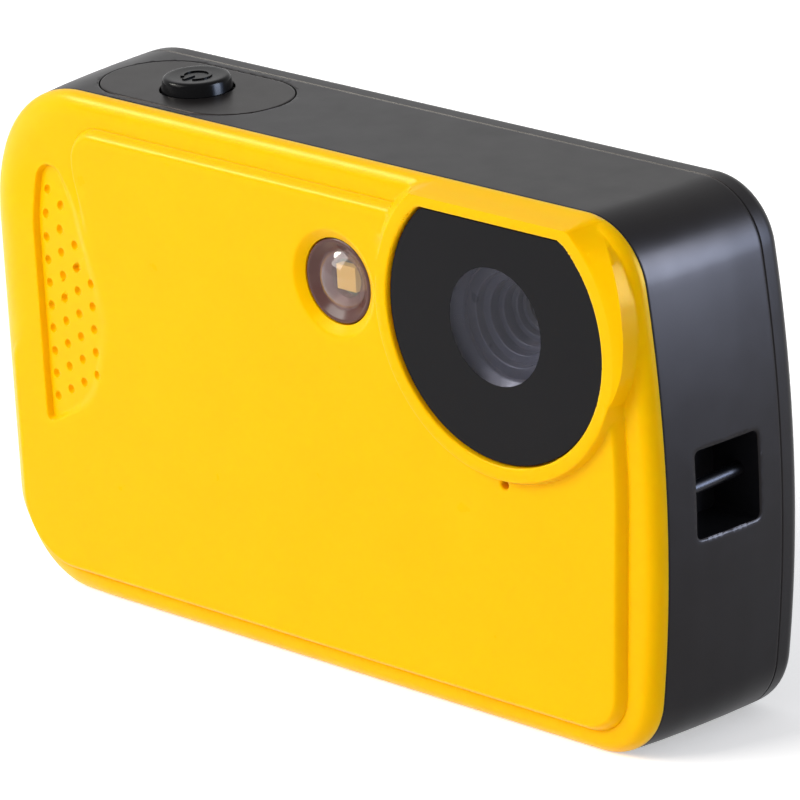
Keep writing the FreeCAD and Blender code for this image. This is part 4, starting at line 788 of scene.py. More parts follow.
@dataclass(frozen=True)
class Gloss:
    """How a polished, printed or cast surface looks.

    slot is the record's name for it, colour and alt its two shades, cloud the size in millimetres and the
    detail of their patches, rough the range of its roughness and rough_mm the size of that range's patches,
    wave the size and detail of its unevenness and wave_height its height in millimetres.
    """

    slot: str
    name: str
    colour: str
    alt: str
    cloud: Tuple[float, float]
    rough: Tuple[float, float]
    rough_mm: float = 8.0
    wave: Tuple[float, float] = (6.0, 3.0)
    wave_height: float = 0.0
    ior: float = 1.5
    coat: float = 0.0
    # Painted glow: glow and its colour make the surface give off light of its own, standing in for light that
    # falls on it
    glow: float = 0.0
    painted_glow_colour: str = "#FFFFFF"


def polished(gloss: Gloss) -> bpy.types.Material:
    """Makes a material with clear reflections over a nearly even colour.

    Args:
        gloss: Its colours and numbers.

    Returns:
        The material.
    """
    material, tree, at = start_material(gloss.name)
    patches = mottled(tree, at, gloss.cloud[0], detail=gloss.cloud[1], reach=0.5)
    tint = node(tree, "ShaderNodeMix", {0: patches, 6: linear(gloss.colour), 7: linear(gloss.alt)}, 2,
                data_type="RGBA")
    wave = mottled(tree, at, gloss.wave[0], detail=gloss.wave[1], reach=0.5)
    relief = node(tree, "ShaderNodeBump", {"Height": wave, "Distance": gloss.wave_height * MM,
                                           "Strength": 1.0})
    # The emission is a painted glow, used only by the phosphor
    shader = node(tree, "ShaderNodeBsdfPrincipled", {
        "Base Color": tint, "Roughness": mottled(tree, at, gloss.rough_mm, *gloss.rough), "IOR": gloss.ior,
        "Coat Weight": gloss.coat, "Coat Roughness": 0.02, "Emission Color": linear(gloss.painted_glow_colour),
        "Emission Strength": gloss.glow, "Normal": relief})
    node(tree, "ShaderNodeOutputMaterial", {"Surface": shader})
    return material


GLOSSES = (
    # Acrylic pane, printed black on its back: deep even black under a faint clear gloss
    Gloss("window_print", "acrylic_printed_black", "#141417", "#18181B", (22.0, 2.0), (0.06, 0.10), 9.0,
          wave_height=0.0015, ior=1.18),
    # Hardened glass over the screen, polished: blue-black with mirror-like reflections
    Gloss("screen_glass", "glass_polished_dark", "#0B0C10", "#101218", (18.0, 3.0), (0.05, 0.09), coat=0.8),
    # Phosphor in silicone, cast over the lamp's chip: pale granular yellow, lifted by a painted glow that
    # stands in for light falling on it
    Gloss("lamp_phosphor", "phosphor_cast", "#CDB64E", "#D8C468", (0.12, 2.0), (0.5, 0.5), wave=(0.12, 2.0),
          wave_height=0.02, glow=0.4, painted_glow_colour="#C8B45C"),
    # White ink, pad printed: flat, a little uneven in coverage
    Gloss("sign_white", "ink_pad_printed_white", "#E9EAEC", "#F4F5F6", (0.4, 3.0), (0.45, 0.45)),
)


def clear_pane(name: str, tint: str, haze: str, share: float, rough: float, ior: float) -> bpy.types.Material:
    """Makes clear plastic that isn't seen to bend light: see-through, with a sheen and a little scatter.

    Args:
        name: Material name.
        tint: Colour of what is seen through it.
        haze: Colour of the scatter.
        share: Share of scatter, 0 to 1.
        rough: Roughness of its reflections.
        ior: Strength of its reflections.

    Returns:
        The material.
    """
    material, tree, at = start_material(name)
    through = node(tree, "ShaderNodeBsdfTransparent", {"Color": linear(tint)})
    milky = node(tree, "ShaderNodeBsdfDiffuse", {"Color": linear(haze)})
    wave = mottled(tree, at, 5.0, reach=0.5)
    relief = node(tree, "ShaderNodeBump", {"Height": wave, "Distance": 0.001 * MM, "Strength": 1.0})
    gloss = node(tree, "ShaderNodeBsdfGlossy", {"Color": (1, 1, 1, 1), "Roughness": rough, "Normal": relief})
    amount = mottled(tree, at, 6.0, share * 0.85, share * 1.15)
    body = node(tree, "ShaderNodeMixShader", {0: amount, 1: through, 2: milky})
    least = ((ior - 1) / (ior + 1)) ** 2
    slant = node(tree, "ShaderNodeLayerWeight", {"Blend": 0.5}, "Facing")
    steep = node(tree, "ShaderNodeMath", {0: slant, 1: 5.0}, operation="POWER")
    sheen = node(tree, "ShaderNodeMath", {0: steep, 1: 1 - least, 2: least}, operation="MULTIPLY_ADD")
    shader = node(tree, "ShaderNodeMixShader", {0: sheen, 1: body, 2: gloss})
    node(tree, "ShaderNodeOutputMaterial", {"Surface": shader})
    return material


def coated_glass() -> bpy.types.Material:
    """Optical glass, ground and vapour coated: nearly black face on, with a violet to blue bloom; the
    violet-blue tint is the coating's own, its lightening at a slant is a painted reflection.

    Returns:
        The material.
    """
    material, tree, at = start_material("glass_ground_coated")
    # Painted reflection: the base colour turns from dark violet face on to pale blue at a slant, standing in
    # for the coating's reflection
    slant = node(tree, "ShaderNodeLayerWeight", {"Blend": 0.35}, "Facing")
    painted_coating_sheen = node(tree, "ShaderNodeMix", {0: slant, 6: linear("#2A2340"), 7: linear("#6A7FA8")}, 2,
                 data_type="RGBA")
    shader = node(tree, "ShaderNodeBsdfPrincipled", {
        "Base Color": painted_coating_sheen, "Roughness": mottled(tree, at, 1.2, 0.03, 0.07), "IOR": 1.7,
        "Transmission Weight": 0.35})
    node(tree, "ShaderNodeOutputMaterial", {"Surface": shader})
    return material


def etched_board() -> bpy.types.Material:
    """Glass-epoxy board, etched and masked: green with lighter traces and small gilt pads.

    Returns:
        The material.
    """
    material, tree, at = start_material("glass_epoxy_etched_board")
    mask = node(tree, "ShaderNodeTexBrick", {
        "Vector": at, "Color1": linear("#14532B"), "Color2": linear("#1B6335"), "Mortar": linear("#2E8A4C"),
        "Scale": 0.9, "Mortar Size": 0.035, "Brick Width": 0.9, "Row Height": 0.35}, "Color")
    traces = mask.node.outputs["Fac"]
    spots = node(tree, "ShaderNodeTexVoronoi", {"Vector": at, "Scale": 0.55})
    pads = node(tree, "ShaderNodeMapRange", {
        "Value": spots, "From Min": 0.10, "From Max": 0.13, "To Min": 1.0, "To Max": 0.0})
    tint = node(tree, "ShaderNodeMix", {0: pads, 6: mask, 7: linear("#C9B46A")}, 2, data_type="RGBA")
    rough = node(tree, "ShaderNodeMapRange", {"Value": pads, "To Min": 0.36, "To Max": 0.25})
    relief = node(tree, "ShaderNodeBump", {"Height": traces, "Distance": 0.02 * MM, "Strength": 1.0})
    shader = node(tree, "ShaderNodeBsdfPrincipled", {"Base Color": tint, "Roughness": rough, "Metallic": pads,
                                                     "Normal": relief})
    node(tree, "ShaderNodeOutputMaterial", {"Surface": shader})
    return material


@dataclass(frozen=True)
class Stripes:
    """Fine parallel lines over a base colour. axis is 0, 1 or 2; width is the line's share of the pitch."""

    slot: str
    name: str
    base: str
    line: str
    axis: int
    pitch_mm: float
    width: float
    roughness: float
    metallic: float = 0.0


def striped(stripes: Stripes) -> bpy.types.Material:
    """Makes a material with parallel lines.

    Args:
        stripes: Its colours and numbers.

    Returns:
        The material.
    """
    material, tree, at = start_material(stripes.name)
    place = node(tree, "ShaderNodeSeparateXYZ", {"Vector": at}, stripes.axis)
    phase = node(tree, "ShaderNodeMath", {0: place, 1: 1 / stripes.pitch_mm}, operation="MULTIPLY")
    part = node(tree, "ShaderNodeMath", {0: phase}, operation="FRACT")
    mask = node(tree, "ShaderNodeMath", {0: part, 1: stripes.width}, operation="LESS_THAN")
    tint = node(tree, "ShaderNodeMix", {0: mask, 6: linear(stripes.base), 7: linear(stripes.line)}, 2,
                data_type="RGBA")
    shader = node(tree, "ShaderNodeBsdfPrincipled", {
        "Base Color": tint, "Metallic": stripes.metallic,
        "Roughness": mottled(tree, at, 3.0, stripes.roughness - 0.05, stripes.roughness + 0.05)})
    node(tree, "ShaderNodeOutputMaterial", {"Surface": shader})
    return material


STRIPES = (
    # Silicon, etched with a filter grid: dark blue-violet with pixel-fine lines
    Stripes("sensor_face", "silicon_etched", "#1F3A4A", "#3A2F55", 0, 0.2, 0.5, 0.15, 0.4),
    # Steel sheet, stamped and plated: bright case of the screen with faint ribs
    Stripes("screen_body", "steel_stamped_plated", "#A9ACAF", "#9EA1A4", 2, 1.4, 0.06, 0.3, 0.9),
    # Polyimide ribbon with etched copper: amber with lighter tracks
    Stripes("flex_amber", "polyimide_etched_ribbon", "#B4651C", "#D89A45", 0, 0.5, 0.45, 0.35),
    # Shrunk vinyl jacket of a cell: blue with one pale band at its end
    Stripes("cell_jacket", "vinyl_shrunk_jacket", "#2B5FA8", "#D5D8DC", 0, 44.5, 0.16, 0.30, 0.2),
)


class Palette:
    """All materials by the record's slot name, made once."""

    def __init__(self) -> None:
        """Makes the materials."""
        self.made: Dict[str, bpy.types.Material] = {finish.slot: moulded(finish) for finish in FINISHES}
        self.made.update({gloss.slot: polished(gloss) for gloss in GLOSSES})
        self.made.update({stripes.slot: striped(stripes) for stripes in STRIPES})
        # Acrylic pane, clear where nothing is printed: darkens what is behind it a little
        self.made["window_smoke"] = clear_pane("acrylic_clear", "#E2E2E8", "#9A9CAC", 0.018, 0.02, 1.22)
        # Clear polycarbonate dome from a polished tool: a bright rim and one soft light
        self.made["lamp_clear"] = clear_pane("polycarbonate_moulded_clear", "#F6EEEE", "#C8AFB0", 0.07, 0.06,
                                             1.5)
        self.made["lens_glass"] = coated_glass()
        self.made["board_green"] = etched_board()

    def __getitem__(self, name: str) -> bpy.types.Material:
        """The material of a slot."""
        return self.made[name]


# Front shell

def pad_loop(grow: float) -> Array:
    """Outline of the raised middle of the front.

    Args:
        grow: How much further out it lies.

    Returns:
        Points in order.
    """
    return rounded_polygon([
        (-50.4 - grow, 3.9 - grow, 7.5 + grow), (-50.4 - grow, 30.0 + grow, 2.0),
        (-34.6 - grow, 45.5 + grow, 3.0), (-37.8 - grow, 56.0, 9.0), (-37.2 - grow, 60.3 + grow, 3.2),
        (47.4 + grow, 60.3 + grow, 3.0), (48.6 + grow, 35.0, 60.0), (46.7 + grow, 3.9 - grow, 4.6 + grow)])


def grip_loop() -> Array:
    """Leaf-shaped outline of the grip recess."""
    return rounded_polygon([(-45.45, 22.0, 0.8), (-45.45, 55.5, 2.2), (-41.6, 55.3, 2.0), (-37.4, 50.4, 12.0),
                            (-32.6, 37.0, 7.0), (-36.4, 26.0, 9.0)], 0.6)


def inset_loop(loop: Array, inward: float) -> Array:
    """Moves the points of a loop inwards by a small distance.

    Args:
        loop: Flat points in order.
        inward: The distance.

    Returns:
        The moved points.
    """
    along = np.roll(loop, -1, axis=0) - np.roll(loop, 1, axis=0)
    along /= np.linalg.norm(along, axis=1)[:, None]
    normal = np.c_[-along[:, 1], along[:, 0]]
    middle = loop.mean(0)
    if ((middle - loop) * normal).sum() < 0:
        normal = -normal
    return loop + normal * inward


def eased_table(z: Array, places: Sequence[float], values: Sequence[float], reach: float = 1.3) -> Array:
    """Values of a table between its places, with its bends eased over the reach on each side."""
    shifts = np.linspace(-reach, reach, 9)
    return sum(np.interp(z + shift, places, values) for shift in shifts) / len(shifts)


def opening_loop(grow: float) -> Array:
    """Outline of the window's opening: a circle cut level at the top.

    Args:
        grow: How much further out it lies.

    Returns:
        Points in order.
    """
    r = OPENING_R + grow
    top = OPENING_TOP + grow
    half = math.degrees(math.acos((top - LENS_Z) / r))
    chord = r * math.sin(math.radians(half))
    arc = arc_points(LENS_X, LENS_Z, r, 90 + half + 1.2, 450 - half - 1.2, 150)
    line = np.linspace(1, -1, 30)[:, None] * np.array([chord - 0.35, 0]) + np.array([LENS_X, top])
    return np.vstack([arc, line])


def dimple_centres() -> Array:
    """Centres of the grip's dimples, in four columns that get shorter towards the middle."""
    columns = ((10, 0.0), (9, 0.5), (7, 2.0), (5, 3.5))
    return np.array([(-43.9 + column * 2.62, 52.0 - (start + i) * 2.93)
                     for column, (count, start) in enumerate(columns) for i in range(count)])


@dataclass
class FrontShell:
    """Yellow front shell as one smooth skin over contours of its features."""

    palette: Palette
    rim_wall: float = 0.42
    seat_depth: float = 1.75
    seat_width: float = 1.6
    edge_end: float = 4.08
    lip: float = 0.22
    grip_depth: float = 0.74
    dish_r: float = 6.5
    dish_run: float = 1.2
    dish_depth: float = 0.8
    dimple_r: float = 0.56
    dimple_depth: float = 0.62
    dimples: Array = field(default_factory=dimple_centres)

    @staticmethod
    def crease(z: Array) -> Array:
        """Place across of the edge where the bezel's right flank drops into the groove."""
        return eased_table(z, [42.4, 44.5, 47.3, 48.9, 51.4, 53.9, 57.3, 60.2, 62.05, 63.2, 64.0, 65.1],
                           [47.8, 49.45, 50.8, 51.2, 51.45, 51.35, 50.95, 49.95, 48.7, 47.2, 46.3, 45.2])

    def flank(self, x: Array, z: Array) -> Array:
        """Depth of the bezel's sloping flanks and roof, away from the round wall.

        Args:
            x: Places across.
            z: Heights.

        Returns:
            Depths behind the front of the lens rim.
        """
        above = np.clip(z - RIM_TOP, 0, None)
        roof = above * 3.6
        level = np.minimum(z, RIM_TOP)
        reach = np.sqrt(np.clip(RIM_R ** 2 - (level - LENS_Z) ** 2, 0, None))
        right0 = LENS_X + reach + above * 2.0
        right1 = self.crease(z)
        end = eased_table(z, [42.4, 44.5, 47.3, 51.4, 57.3, 60.2, 62.05, 63.2, 64.0, 65.1],
                          [0.05, 0.12, 0.22, 0.35, 0.6, 0.95, 1.55, 2.6, 3.4, 4.1])
        width = np.maximum(right1 - right0, 0.05)
        t = (x - right0) / width
        right = roof + np.clip(t, 0, 1) * (end - roof) + np.clip(t - 1, 0, None) * width * 6
        left0 = LENS_X - reach + above * 1.6
        left1 = left0 - np.interp(z, [54, 60, 65], [0.42, 1.2, 3.4])
        t = (left0 - x) / (left0 - left1)
        end_left = 1.0 + 3.0 * smoothstep((z - 60.3) / 4.2)
        left = roof + np.clip(t, 0, None) * (end_left - roof) + np.clip(t - 1, 0, None) * 3
        return np.where(x > LENS_X, np.maximum(right, roof), np.maximum(left, roof))

    def depth(self, x: Array, z: Array) -> Array:
        """Depth of the skin.

        Args:
            x: Places across.
            z: Heights.

        Returns:
            Depths behind the front of the lens rim.
        """
        xz = np.c_[x, z]
        s = OUTLINE.inset_of(x, z)
        # The outer edge rolls over, wider at the grip, where the border is flush with the raised middle
        flush = (1 - smoothstep((x + 36) / 6)) * (1 - smoothstep((z - 47) / 9)) * smoothstep((z - 5) / 7)
        border = D_BORDER - (D_BORDER - D_PAD) * flush
        radius = 2.0 + 3.0 * (1 - smoothstep((x + 49) / 12))
        t = np.clip(1 - s / radius, 0, 1)
        base = border + (self.edge_end - border) * (1 - np.sqrt(np.clip(1 - t * t, 0, 1)))
        # The middle is raised, with a fine line at its foot
        p = signed_distance(xz, pad_loop(0.0))
        lift = 1 - (1 - np.clip(p + 1.0, 0, 1)) ** 1.8
        base = np.where(base > D_PAD, base - lift * (base - D_PAD), base)
        base = base + 0.10 * np.clip(1 - np.abs(p + 1.04) / 0.14, 0, 1) * (1 - flush)
        # The grip recess is deepest at its outer side
        g = signed_distance(xz, grip_loop())
        share = np.clip((-32.4 - x) / 12.4, 0, 1)
        wall_width = 0.36 + 1.5 * np.clip((x + 43.5) / 10, 0, 1)
        base = base + np.clip(g / wall_width, 0, 1) ** 1.4 * self.grip_depth * share
        # The bezel has a round wall low down, and sloping flanks and a roof higher up
        r = np.hypot(x - LENS_X, z - LENS_Z)
        wall = (r - RIM_R) / self.rim_wall
        side = self.flank(x, z)
        blend = np.where(x > LENS_X, smoothstep((z - 42.6) / 2.4), smoothstep((z - 50) / 4.0))
        bezel = np.where(r > RIM_R - 0.5, wall * (1 - blend) + side * blend, 0.0)
        bezel = np.where((z > RIM_TOP - 0.6) & (r <= RIM_R - 0.5), side, bezel)
        bezel = smooth_max(bezel, np.zeros_like(bezel), 0.22)
        d = smooth_min(base, bezel, 0.16 + 0.16 * smoothstep((x - 47) / 2) * smoothstep((z - 44) / 3))
        # The window's opening has a rounded lip
        o = -signed_distance(xz, opening_loop(0.0))
        d = d + self.lip * (1 - np.sqrt(np.clip(1 - np.clip(1 - o / self.lip, 0, 1) ** 2, 0, 1)))
        # Lamp dish, microphone hole and dimples
        lamp = np.hypot(x - LAMP_X, z - LAMP_Z)
        dish = D_PAD + (self.dish_r - lamp) / self.dish_run * self.dish_depth
        d = np.where(lamp < self.dish_r + 0.7, smooth_max(d, dish, 0.18), d)
        mic = np.hypot(x - MIC_X, z - MIC_Z)
        d = d + 0.18 * np.clip(1 - (mic - MIC_HOLE_R) / 0.2, 0, 1) ** 2 * (mic < MIC_HOLE_R + 0.2)
        near = np.full(len(x), 9.0)
        for cx, cz in self.dimples:
            near = np.minimum(near, np.hypot(x - cx, z - cz))
        cup = self.dimple_depth * np.sqrt(np.clip(1 - (near / self.dimple_r) ** 2, 0, 1))
        edge = 0.10 * np.clip(1 - (near - 0.50) / 0.18, 0, 1) ** 2 * (near < 0.68)
        return d + np.where(near < self.dimple_r, np.maximum(cup, edge), edge)

    def build(self) -> bpy.types.Object:
        """Makes the shell and puts it in place of its CAD node.

        Returns:
            The shell.
        """
        sheet = Sheet()
        for inset in (0.0, 0.04, 0.14, 0.32, 0.6, 0.95):
            sheet.loop(OUTLINE.loop(inset))
        for inset in (1.35, 1.8, 2.4):
            sheet.scatter(OUTLINE.loop(inset))
        opening = opening_loop(0.0)
        sheet.loop(opening)
        for grow in (0.04, 0.1, 0.2, 0.45, 0.9):
            sheet.scatter(opening_loop(grow))
        lamp = circle(LAMP_X, LAMP_Z, LAMP_HOLE_R, 72)
        sheet.loop(lamp)
        for r in (5.5, 5.9, 6.3, 6.42, 6.52, 6.65, 6.9):
            sheet.scatter(circle(LAMP_X, LAMP_Z, r, 72))
        mic = circle(MIC_X, MIC_Z, MIC_HOLE_R, 24)
        sheet.loop(mic)
        for r in (0.66, 0.74, 0.82, 1.1):
            sheet.scatter(circle(MIC_X, MIC_Z, r, 24))
        for cx, cz in self.dimples:
            sheet.scatter(np.array([[cx, cz]]))
            for r, n in ((0.2, 8), (0.36, 12), (0.47, 16), (0.54, 18), (0.6, 18), (0.7, 18), (0.95, 14)):
                sheet.scatter(circle(cx, cz, r, n))
        for grow in (0.0, 0.25, 0.5, 0.75, 0.9, 1.0, 1.04, 1.12, 1.18):
            sheet.loop(pad_loop(grow))
        for grow in (-0.4, -0.12, 0.12, 0.38, 0.62, 1.4):
            sheet.scatter(pad_loop(grow))
        for inward in (0.0, 0.1, 0.2, 0.3, 0.36, 0.44):
            sheet.loop(inset_loop(grip_loop(), inward))
        for grow in (-0.12, 0.0, 0.12, 0.28, 0.44, 0.6):
            sheet.loop(circle(LENS_X, LENS_Z, RIM_R + grow, 280))
        heights = np.arange(43.2, 64.6, 0.2)
        for across in (-0.1, 0.0, 0.08, 0.16, 0.24, 0.32):
            sheet.loop(np.c_[self.crease(heights) + across, heights], closed=False)
        for across in (-0.5, -0.24, 0.42, 0.54, 0.7):
            sheet.scatter(np.c_[self.crease(heights) + across, heights])
        for grid in (grid_points(14, 51, 58, 65, 0.28), grid_points(43, 52, 42, 60, 0.4),
                     grid_points(-46.5, -31, 20, 57.5, 0.45), grid_points(-54, 54, 0, 65, 1.3)):
            sheet.scatter(grid[OUTLINE.inset_of(grid[:, 0], grid[:, 1]) > 1.1])

        def keep(x: Array, z: Array) -> Array:
            """Says which places are skin: inside the outline and outside the three holes.

            Args:
                x: Places across.
                z: Heights.

            Returns:
                True for skin.
            """
            hole = signed_distance(np.c_[x, z], opening) > 0
            hole |= np.hypot(x - LAMP_X, z - LAMP_Z) < LAMP_HOLE_R - 0.02
            hole |= np.hypot(x - MIC_X, z - MIC_Z) < MIC_HOLE_R - 0.01
            return (OUTLINE.inset_of(x, z) > 1e-4) & ~hole

        flat, tris = sheet.triangles(keep)
        LOG.info("front skin: %d points given, %d used", len(sheet.points), len(flat))
        b = MeshBuilder()
        b.add(at_depth(flat, self.depth(flat[:, 0], flat[:, 1])), tris)
        rim = OUTLINE.loop(0.0)
        top = self.depth(rim[:, 0], rim[:, 1])
        b.strip([at_depth(rim, top), at_depth(rim, np.maximum(top, self.edge_end + 0.04)),
                 at_depth(OUTLINE.loop(0.05), D_SPLIT), at_depth(OUTLINE.loop(2.2), D_SPLIT)])
        for loop, depth in ((opening, self.seat_depth), (lamp, 2.9), (mic, 2.8)):
            stack = [at_depth(loop, self.depth(loop[:, 0], loop[:, 1])), at_depth(loop, depth)]
            if loop is opening:
                stack.append(at_depth(opening_loop(-self.seat_width), depth))
            b.strip(stack, flip=True)
        obj = b.build("front_shell_skin", [self.palette["shell_yellow"]], 50)
        return stand_in(obj, "front_shell")


# Sides

class SideSkin:
    """The body's side surface laid out flat: distance round the outline, and depth."""

    def __init__(self) -> None:
        """Measures the outline at the front and at the rear."""
        self.narrow = OUTLINE.loop(0.0, 0.0, 2)
        self.wide = OUTLINE.loop(0.0, SIDE_FLARE, 2)
        step = np.linalg.norm(np.roll(self.narrow, -1, axis=0) - self.narrow, axis=1)
        self.u = np.r_[0, np.cumsum(step)]
        self.length = self.u[-1]
        tangent = np.roll(self.narrow, -1, axis=0) - np.roll(self.narrow, 1, axis=0)
        tangent /= np.linalg.norm(tangent, axis=1)[:, None]
        self.normal = np.c_[-tangent[:, 1], tangent[:, 0]]

    def _at(self, table: Array, u: Array) -> Array:
        """Looks up a table of x and z by the distance round the outline.

        Args:
            table: One row for each point of the outline.
            u: Distances.

        Returns:
            Rows of x and z.
        """
        u = np.mod(u, self.length)
        closed = np.vstack([table, table[:1]])
        return np.c_[np.interp(u, self.u, closed[:, 0]), np.interp(u, self.u, closed[:, 1])]

    @staticmethod
    def flare(depth: Array) -> Array:
        """How much wider the body is at a depth."""
        return np.interp(depth, [D_SPLIT, 8.0, D_MID, 17.0, D_SEAM, 30],
                         [0.0, 0.66, MID_FLARE, 1.58, SIDE_FLARE, SIDE_FLARE])

    def place(self, u: Array, depth: Array, inset: Array = 0.0) -> Array:
        """Points in space for flat points.

        Args:
            u: Distances round the outline.
            depth: Their depths.
            inset: How far below the surface they lie.

        Returns:
            Points as rows of x, depth, z.
        """
        share = (self.flare(depth) / SIDE_FLARE)[:, None]
        p = self._at(self.narrow, u) * (1 - share) + self._at(self.wide, u) * share
        p = p - self._at(self.normal, u) * np.reshape(inset, (-1, 1))
        return np.c_[p[:, 0], depth, p[:, 1]]

    def find(self, axis: int, value: Array, depth: Array, near: float) -> Array:
        """Distance round the outline at which a coordinate has a value.

        Args:
            axis: 0 for the place across, 2 for the height.
            value: Its values.
            depth: Depths of the points.
            near: First guess.

        Returns:
            Distances round the outline.
        """
        u = np.full(len(value), near, float)
        for _ in range(12):
            here = self.place(u, depth)[:, axis]
            ahead = self.place(u + 0.05, depth)[:, axis]
            slope = (ahead - here) / 0.05
            slope = np.where(np.abs(slope) < 0.2, 0.2, slope)
            u = u + np.clip((value - here) / slope, -8, 8)
        return u


@dataclass
class MidFrame:
    """Black frame behind the front shell, with its slot, plate recess, door seat and tripod hole."""

    palette: Palette
    side: SideSkin = field(default_factory=SideSkin)
    edge_reach: Dict[str, float] = field(
        default_factory=lambda: {"slot": 0.3, "plate": 0.14, "door": 0.14, "tripod": 0.2})
    edge_drop: float = 0.6

    def _rings(self, near: Dict[str, float]) -> Dict[str, List[Array]]:
        """Outlines of each recess on the flat side, and rings round it for its rounded edge.

        Args:
            near: Rough distance round the outline of each.

        Returns:
            For each recess its outline, then the rings.
        """
        shapes = {
            "slot": [rounded_rect(D_SLOT - 4.5, D_SLOT + 5.2, SLOT_Z - 5.35, SLOT_Z + 5.35, 0.7, grow)
                     for grow in (0.0, 0.06, 0.16, 0.3, 0.7)],
            "plate": [stadium(BUTTON_X, D_BUTTON, *PLATE, grow) for grow in (0.15, 0.2, 0.28, 0.4, 0.8)],
            "door": [rounded_rect(*SEAT, 0.15, grow) for grow in (0.0, 0.06, 0.14, 0.4)],
            "tripod": [circle(0.0, D_MID, r, 64) for r in (4.2, 4.3, 4.5, 5.0)]}
        flat: Dict[str, List[Array]] = {}
        for name, rings in shapes.items():
            # The slot's and the door's rings are of depth and height, the others of place across and depth
            axis, value, depth = (2, 1, 0) if name in ("slot", "door") else (0, 0, 1)
            flat[name] = []
            for ring in rings:
                u = self.side.find(axis, ring[:, value], ring[:, depth], near[name])
                flat[name].append(np.c_[u, ring[:, depth]])
        return flat

    def build(self) -> bpy.types.Object:
        """Makes the frame's skin with the recesses in it, and puts it in place of its CAD node.

        Returns:
            The frame.
        """
        side = self.side
        # Each recess is first looked for at the middle of one run of the outline. The side has twice the
        # points of the plain outline.
        rings = self._rings({
            "slot": side.u[2 * (26 + 84 + 18 + 24)], "plate": side.u[2 * (26 + 20)],
            "door": side.u[2 * (26 + 84 + 18 + 48 + 18 + 84 + 20 + 15)],
            "tripod": side.u[2 * (26 + 84 + 18 + 48 + 18 + 42)]})
        loops = {name: flat[0] for name, flat in rings.items()}
        sheet = Sheet()
        for first, *others in rings.values():
            sheet.loop(first)
            for ring in others:
                sheet.scatter(ring)
        us = side.u[::2]
        sheet.loop(np.c_[us, np.full(len(us), D_SPLIT)], closed=False)
        for depth in (4.24, 4.32, 4.5):
            sheet.scatter(np.c_[us, np.full(len(us), depth)])
        sheet.loop(np.c_[us, np.full(len(us), D_SEAM)], closed=False)
        for depth in list(np.arange(5.4, 21.2, 0.95)) + [21.4, 21.62, 21.74]:
            sheet.scatter(np.c_[us, np.full(len(us), depth)])

        def keep(u: Array, depth: Array) -> Array:
            """Says which places are skin: between the seams and outside the recesses.

            Args:
                u: Distances round the outline.
                depth: Their depths.

            Returns:
                True for skin.
            """
            ok = (u > 0) & (u < side.length) & (depth > D_SPLIT) & (depth < D_SEAM)
            for loop in loops.values():
                ok &= signed_distance(np.c_[u, depth], loop) < 0
            return ok

        flat, tris = sheet.triangles(keep)
        edge = np.minimum(flat[:, 1] - D_SPLIT, D_SEAM - flat[:, 1])
        inset = 0.12 * np.clip(1 - edge / 0.14, 0, 1) ** 2
        for name, reach in self.edge_reach.items():
            away = -signed_distance(flat, loops[name])
            inset = inset + reach * self.edge_drop * np.clip(1 - away / reach, 0, 1) ** 2
        b = MeshBuilder()
        b.add(side.place(flat[:, 0], flat[:, 1], inset), tris, flip=True)
        self._recesses(b, loops)
        self._seat(b)
        obj = b.build("mid_frame_skin", [self.palette["body_black"], self.palette["optic_black"]], 42)
        return stand_in(obj, "mid_frame")

    def _recesses(self, b: MeshBuilder, loops: Dict[str, Array]) -> None:
        """Adds the walls and floors of the recesses.

        Args:
            b: Builder that takes them.
            loops: Their outlines on the flat side.
        """
        for name, axis, level, closed in (("slot", 0, SLOT_FLOOR, True), ("plate", 2, HEIGHT - 1.7, True),
                                          ("tripod", 2, 5.4, False), ("door", 0, DOOR_FLOOR, False)):
            flat = loops[name]
            drop = self.edge_reach[name] * self.edge_drop
            rim = self.side.place(flat[:, 0], flat[:, 1], np.full(len(flat), drop))
            floor = rim.copy()
            floor[:, axis] = level
            if name == "door":
                self._door_wall(b, rim, floor)
            else:
                b.strip([rim, floor])
            if closed:
                b.fan(floor)

    @staticmethod
    def _seat(b: MeshBuilder) -> None:
        """Adds the door seat's floor with its bay, the hinge's trough and lugs, and the latch's pocket.

        Args:
            b: Builder that takes them.
        """
        seat = Sheet()
        seat.loop(rounded_rect(*SEAT, 0.15))
        bay = rounded_rect(7.4, 18.2, 11.4, 46.6, 0.3)
        groove = rounded_rect(*HINGE_ENDS, 7.6, 10.8, 0.1)
        seat.loop(bay)
        seat.loop(groove)

        def keep(d: Array, z: Array) -> Array:
            """Says which places are floor: inside the seat and outside its bay and the hinge's groove.

            Args:
                d: Depths.
                z: Heights.

            Returns:
                True for floor.
            """
            p = np.c_[d, z]
            ok = (d > SEAT[0]) & (d < SEAT[1]) & (z > SEAT[2]) & (z < SEAT[3])
            return ok & (signed_distance(p, bay) < 0) & (signed_distance(p, groove) < 0)

        flat, tris = seat.triangles(keep)
        b.add(at_across(flat, DOOR_FLOOR), tris, flip=True)
        b.strip([at_across(bay, DOOR_FLOOR), at_across(bay, BAY_INNER)], flip=True)
        arc = np.radians(np.linspace(-72, 72, 16))
        trough = np.c_[HINGE_X + 1.7 * np.cos(arc), HINGE_Z + 1.66 * np.sin(arc)]
        b.strip([at_depth(trough, end) for end in HINGE_ENDS], closed=False)
        for d0 in (HINGE_ENDS[0], 16.8):
            b.lathe([(0.62, 0.0), (1.3, 0.0), (1.4, 0.1), (1.4, 2.3), (1.3, 2.4), (0.62, 2.4)],
                    (HINGE_X, d0, HINGE_Z), "d", 40)
            b.box(HINGE_X, HINGE_X + 2.0, d0, d0 + 2.4, HINGE_Z - 1.1, HINGE_Z + 1.1)
        foot = 49.6
        pocket = MeshBuilder()
        pocket.box(*POCKET_X, 10.0, 15.6, foot, 52.1, flip=True)
        verts = pocket.verts[0]
        b.add(verts, [face for face in pocket.faces if any(verts[i][2] != foot for i in face)])

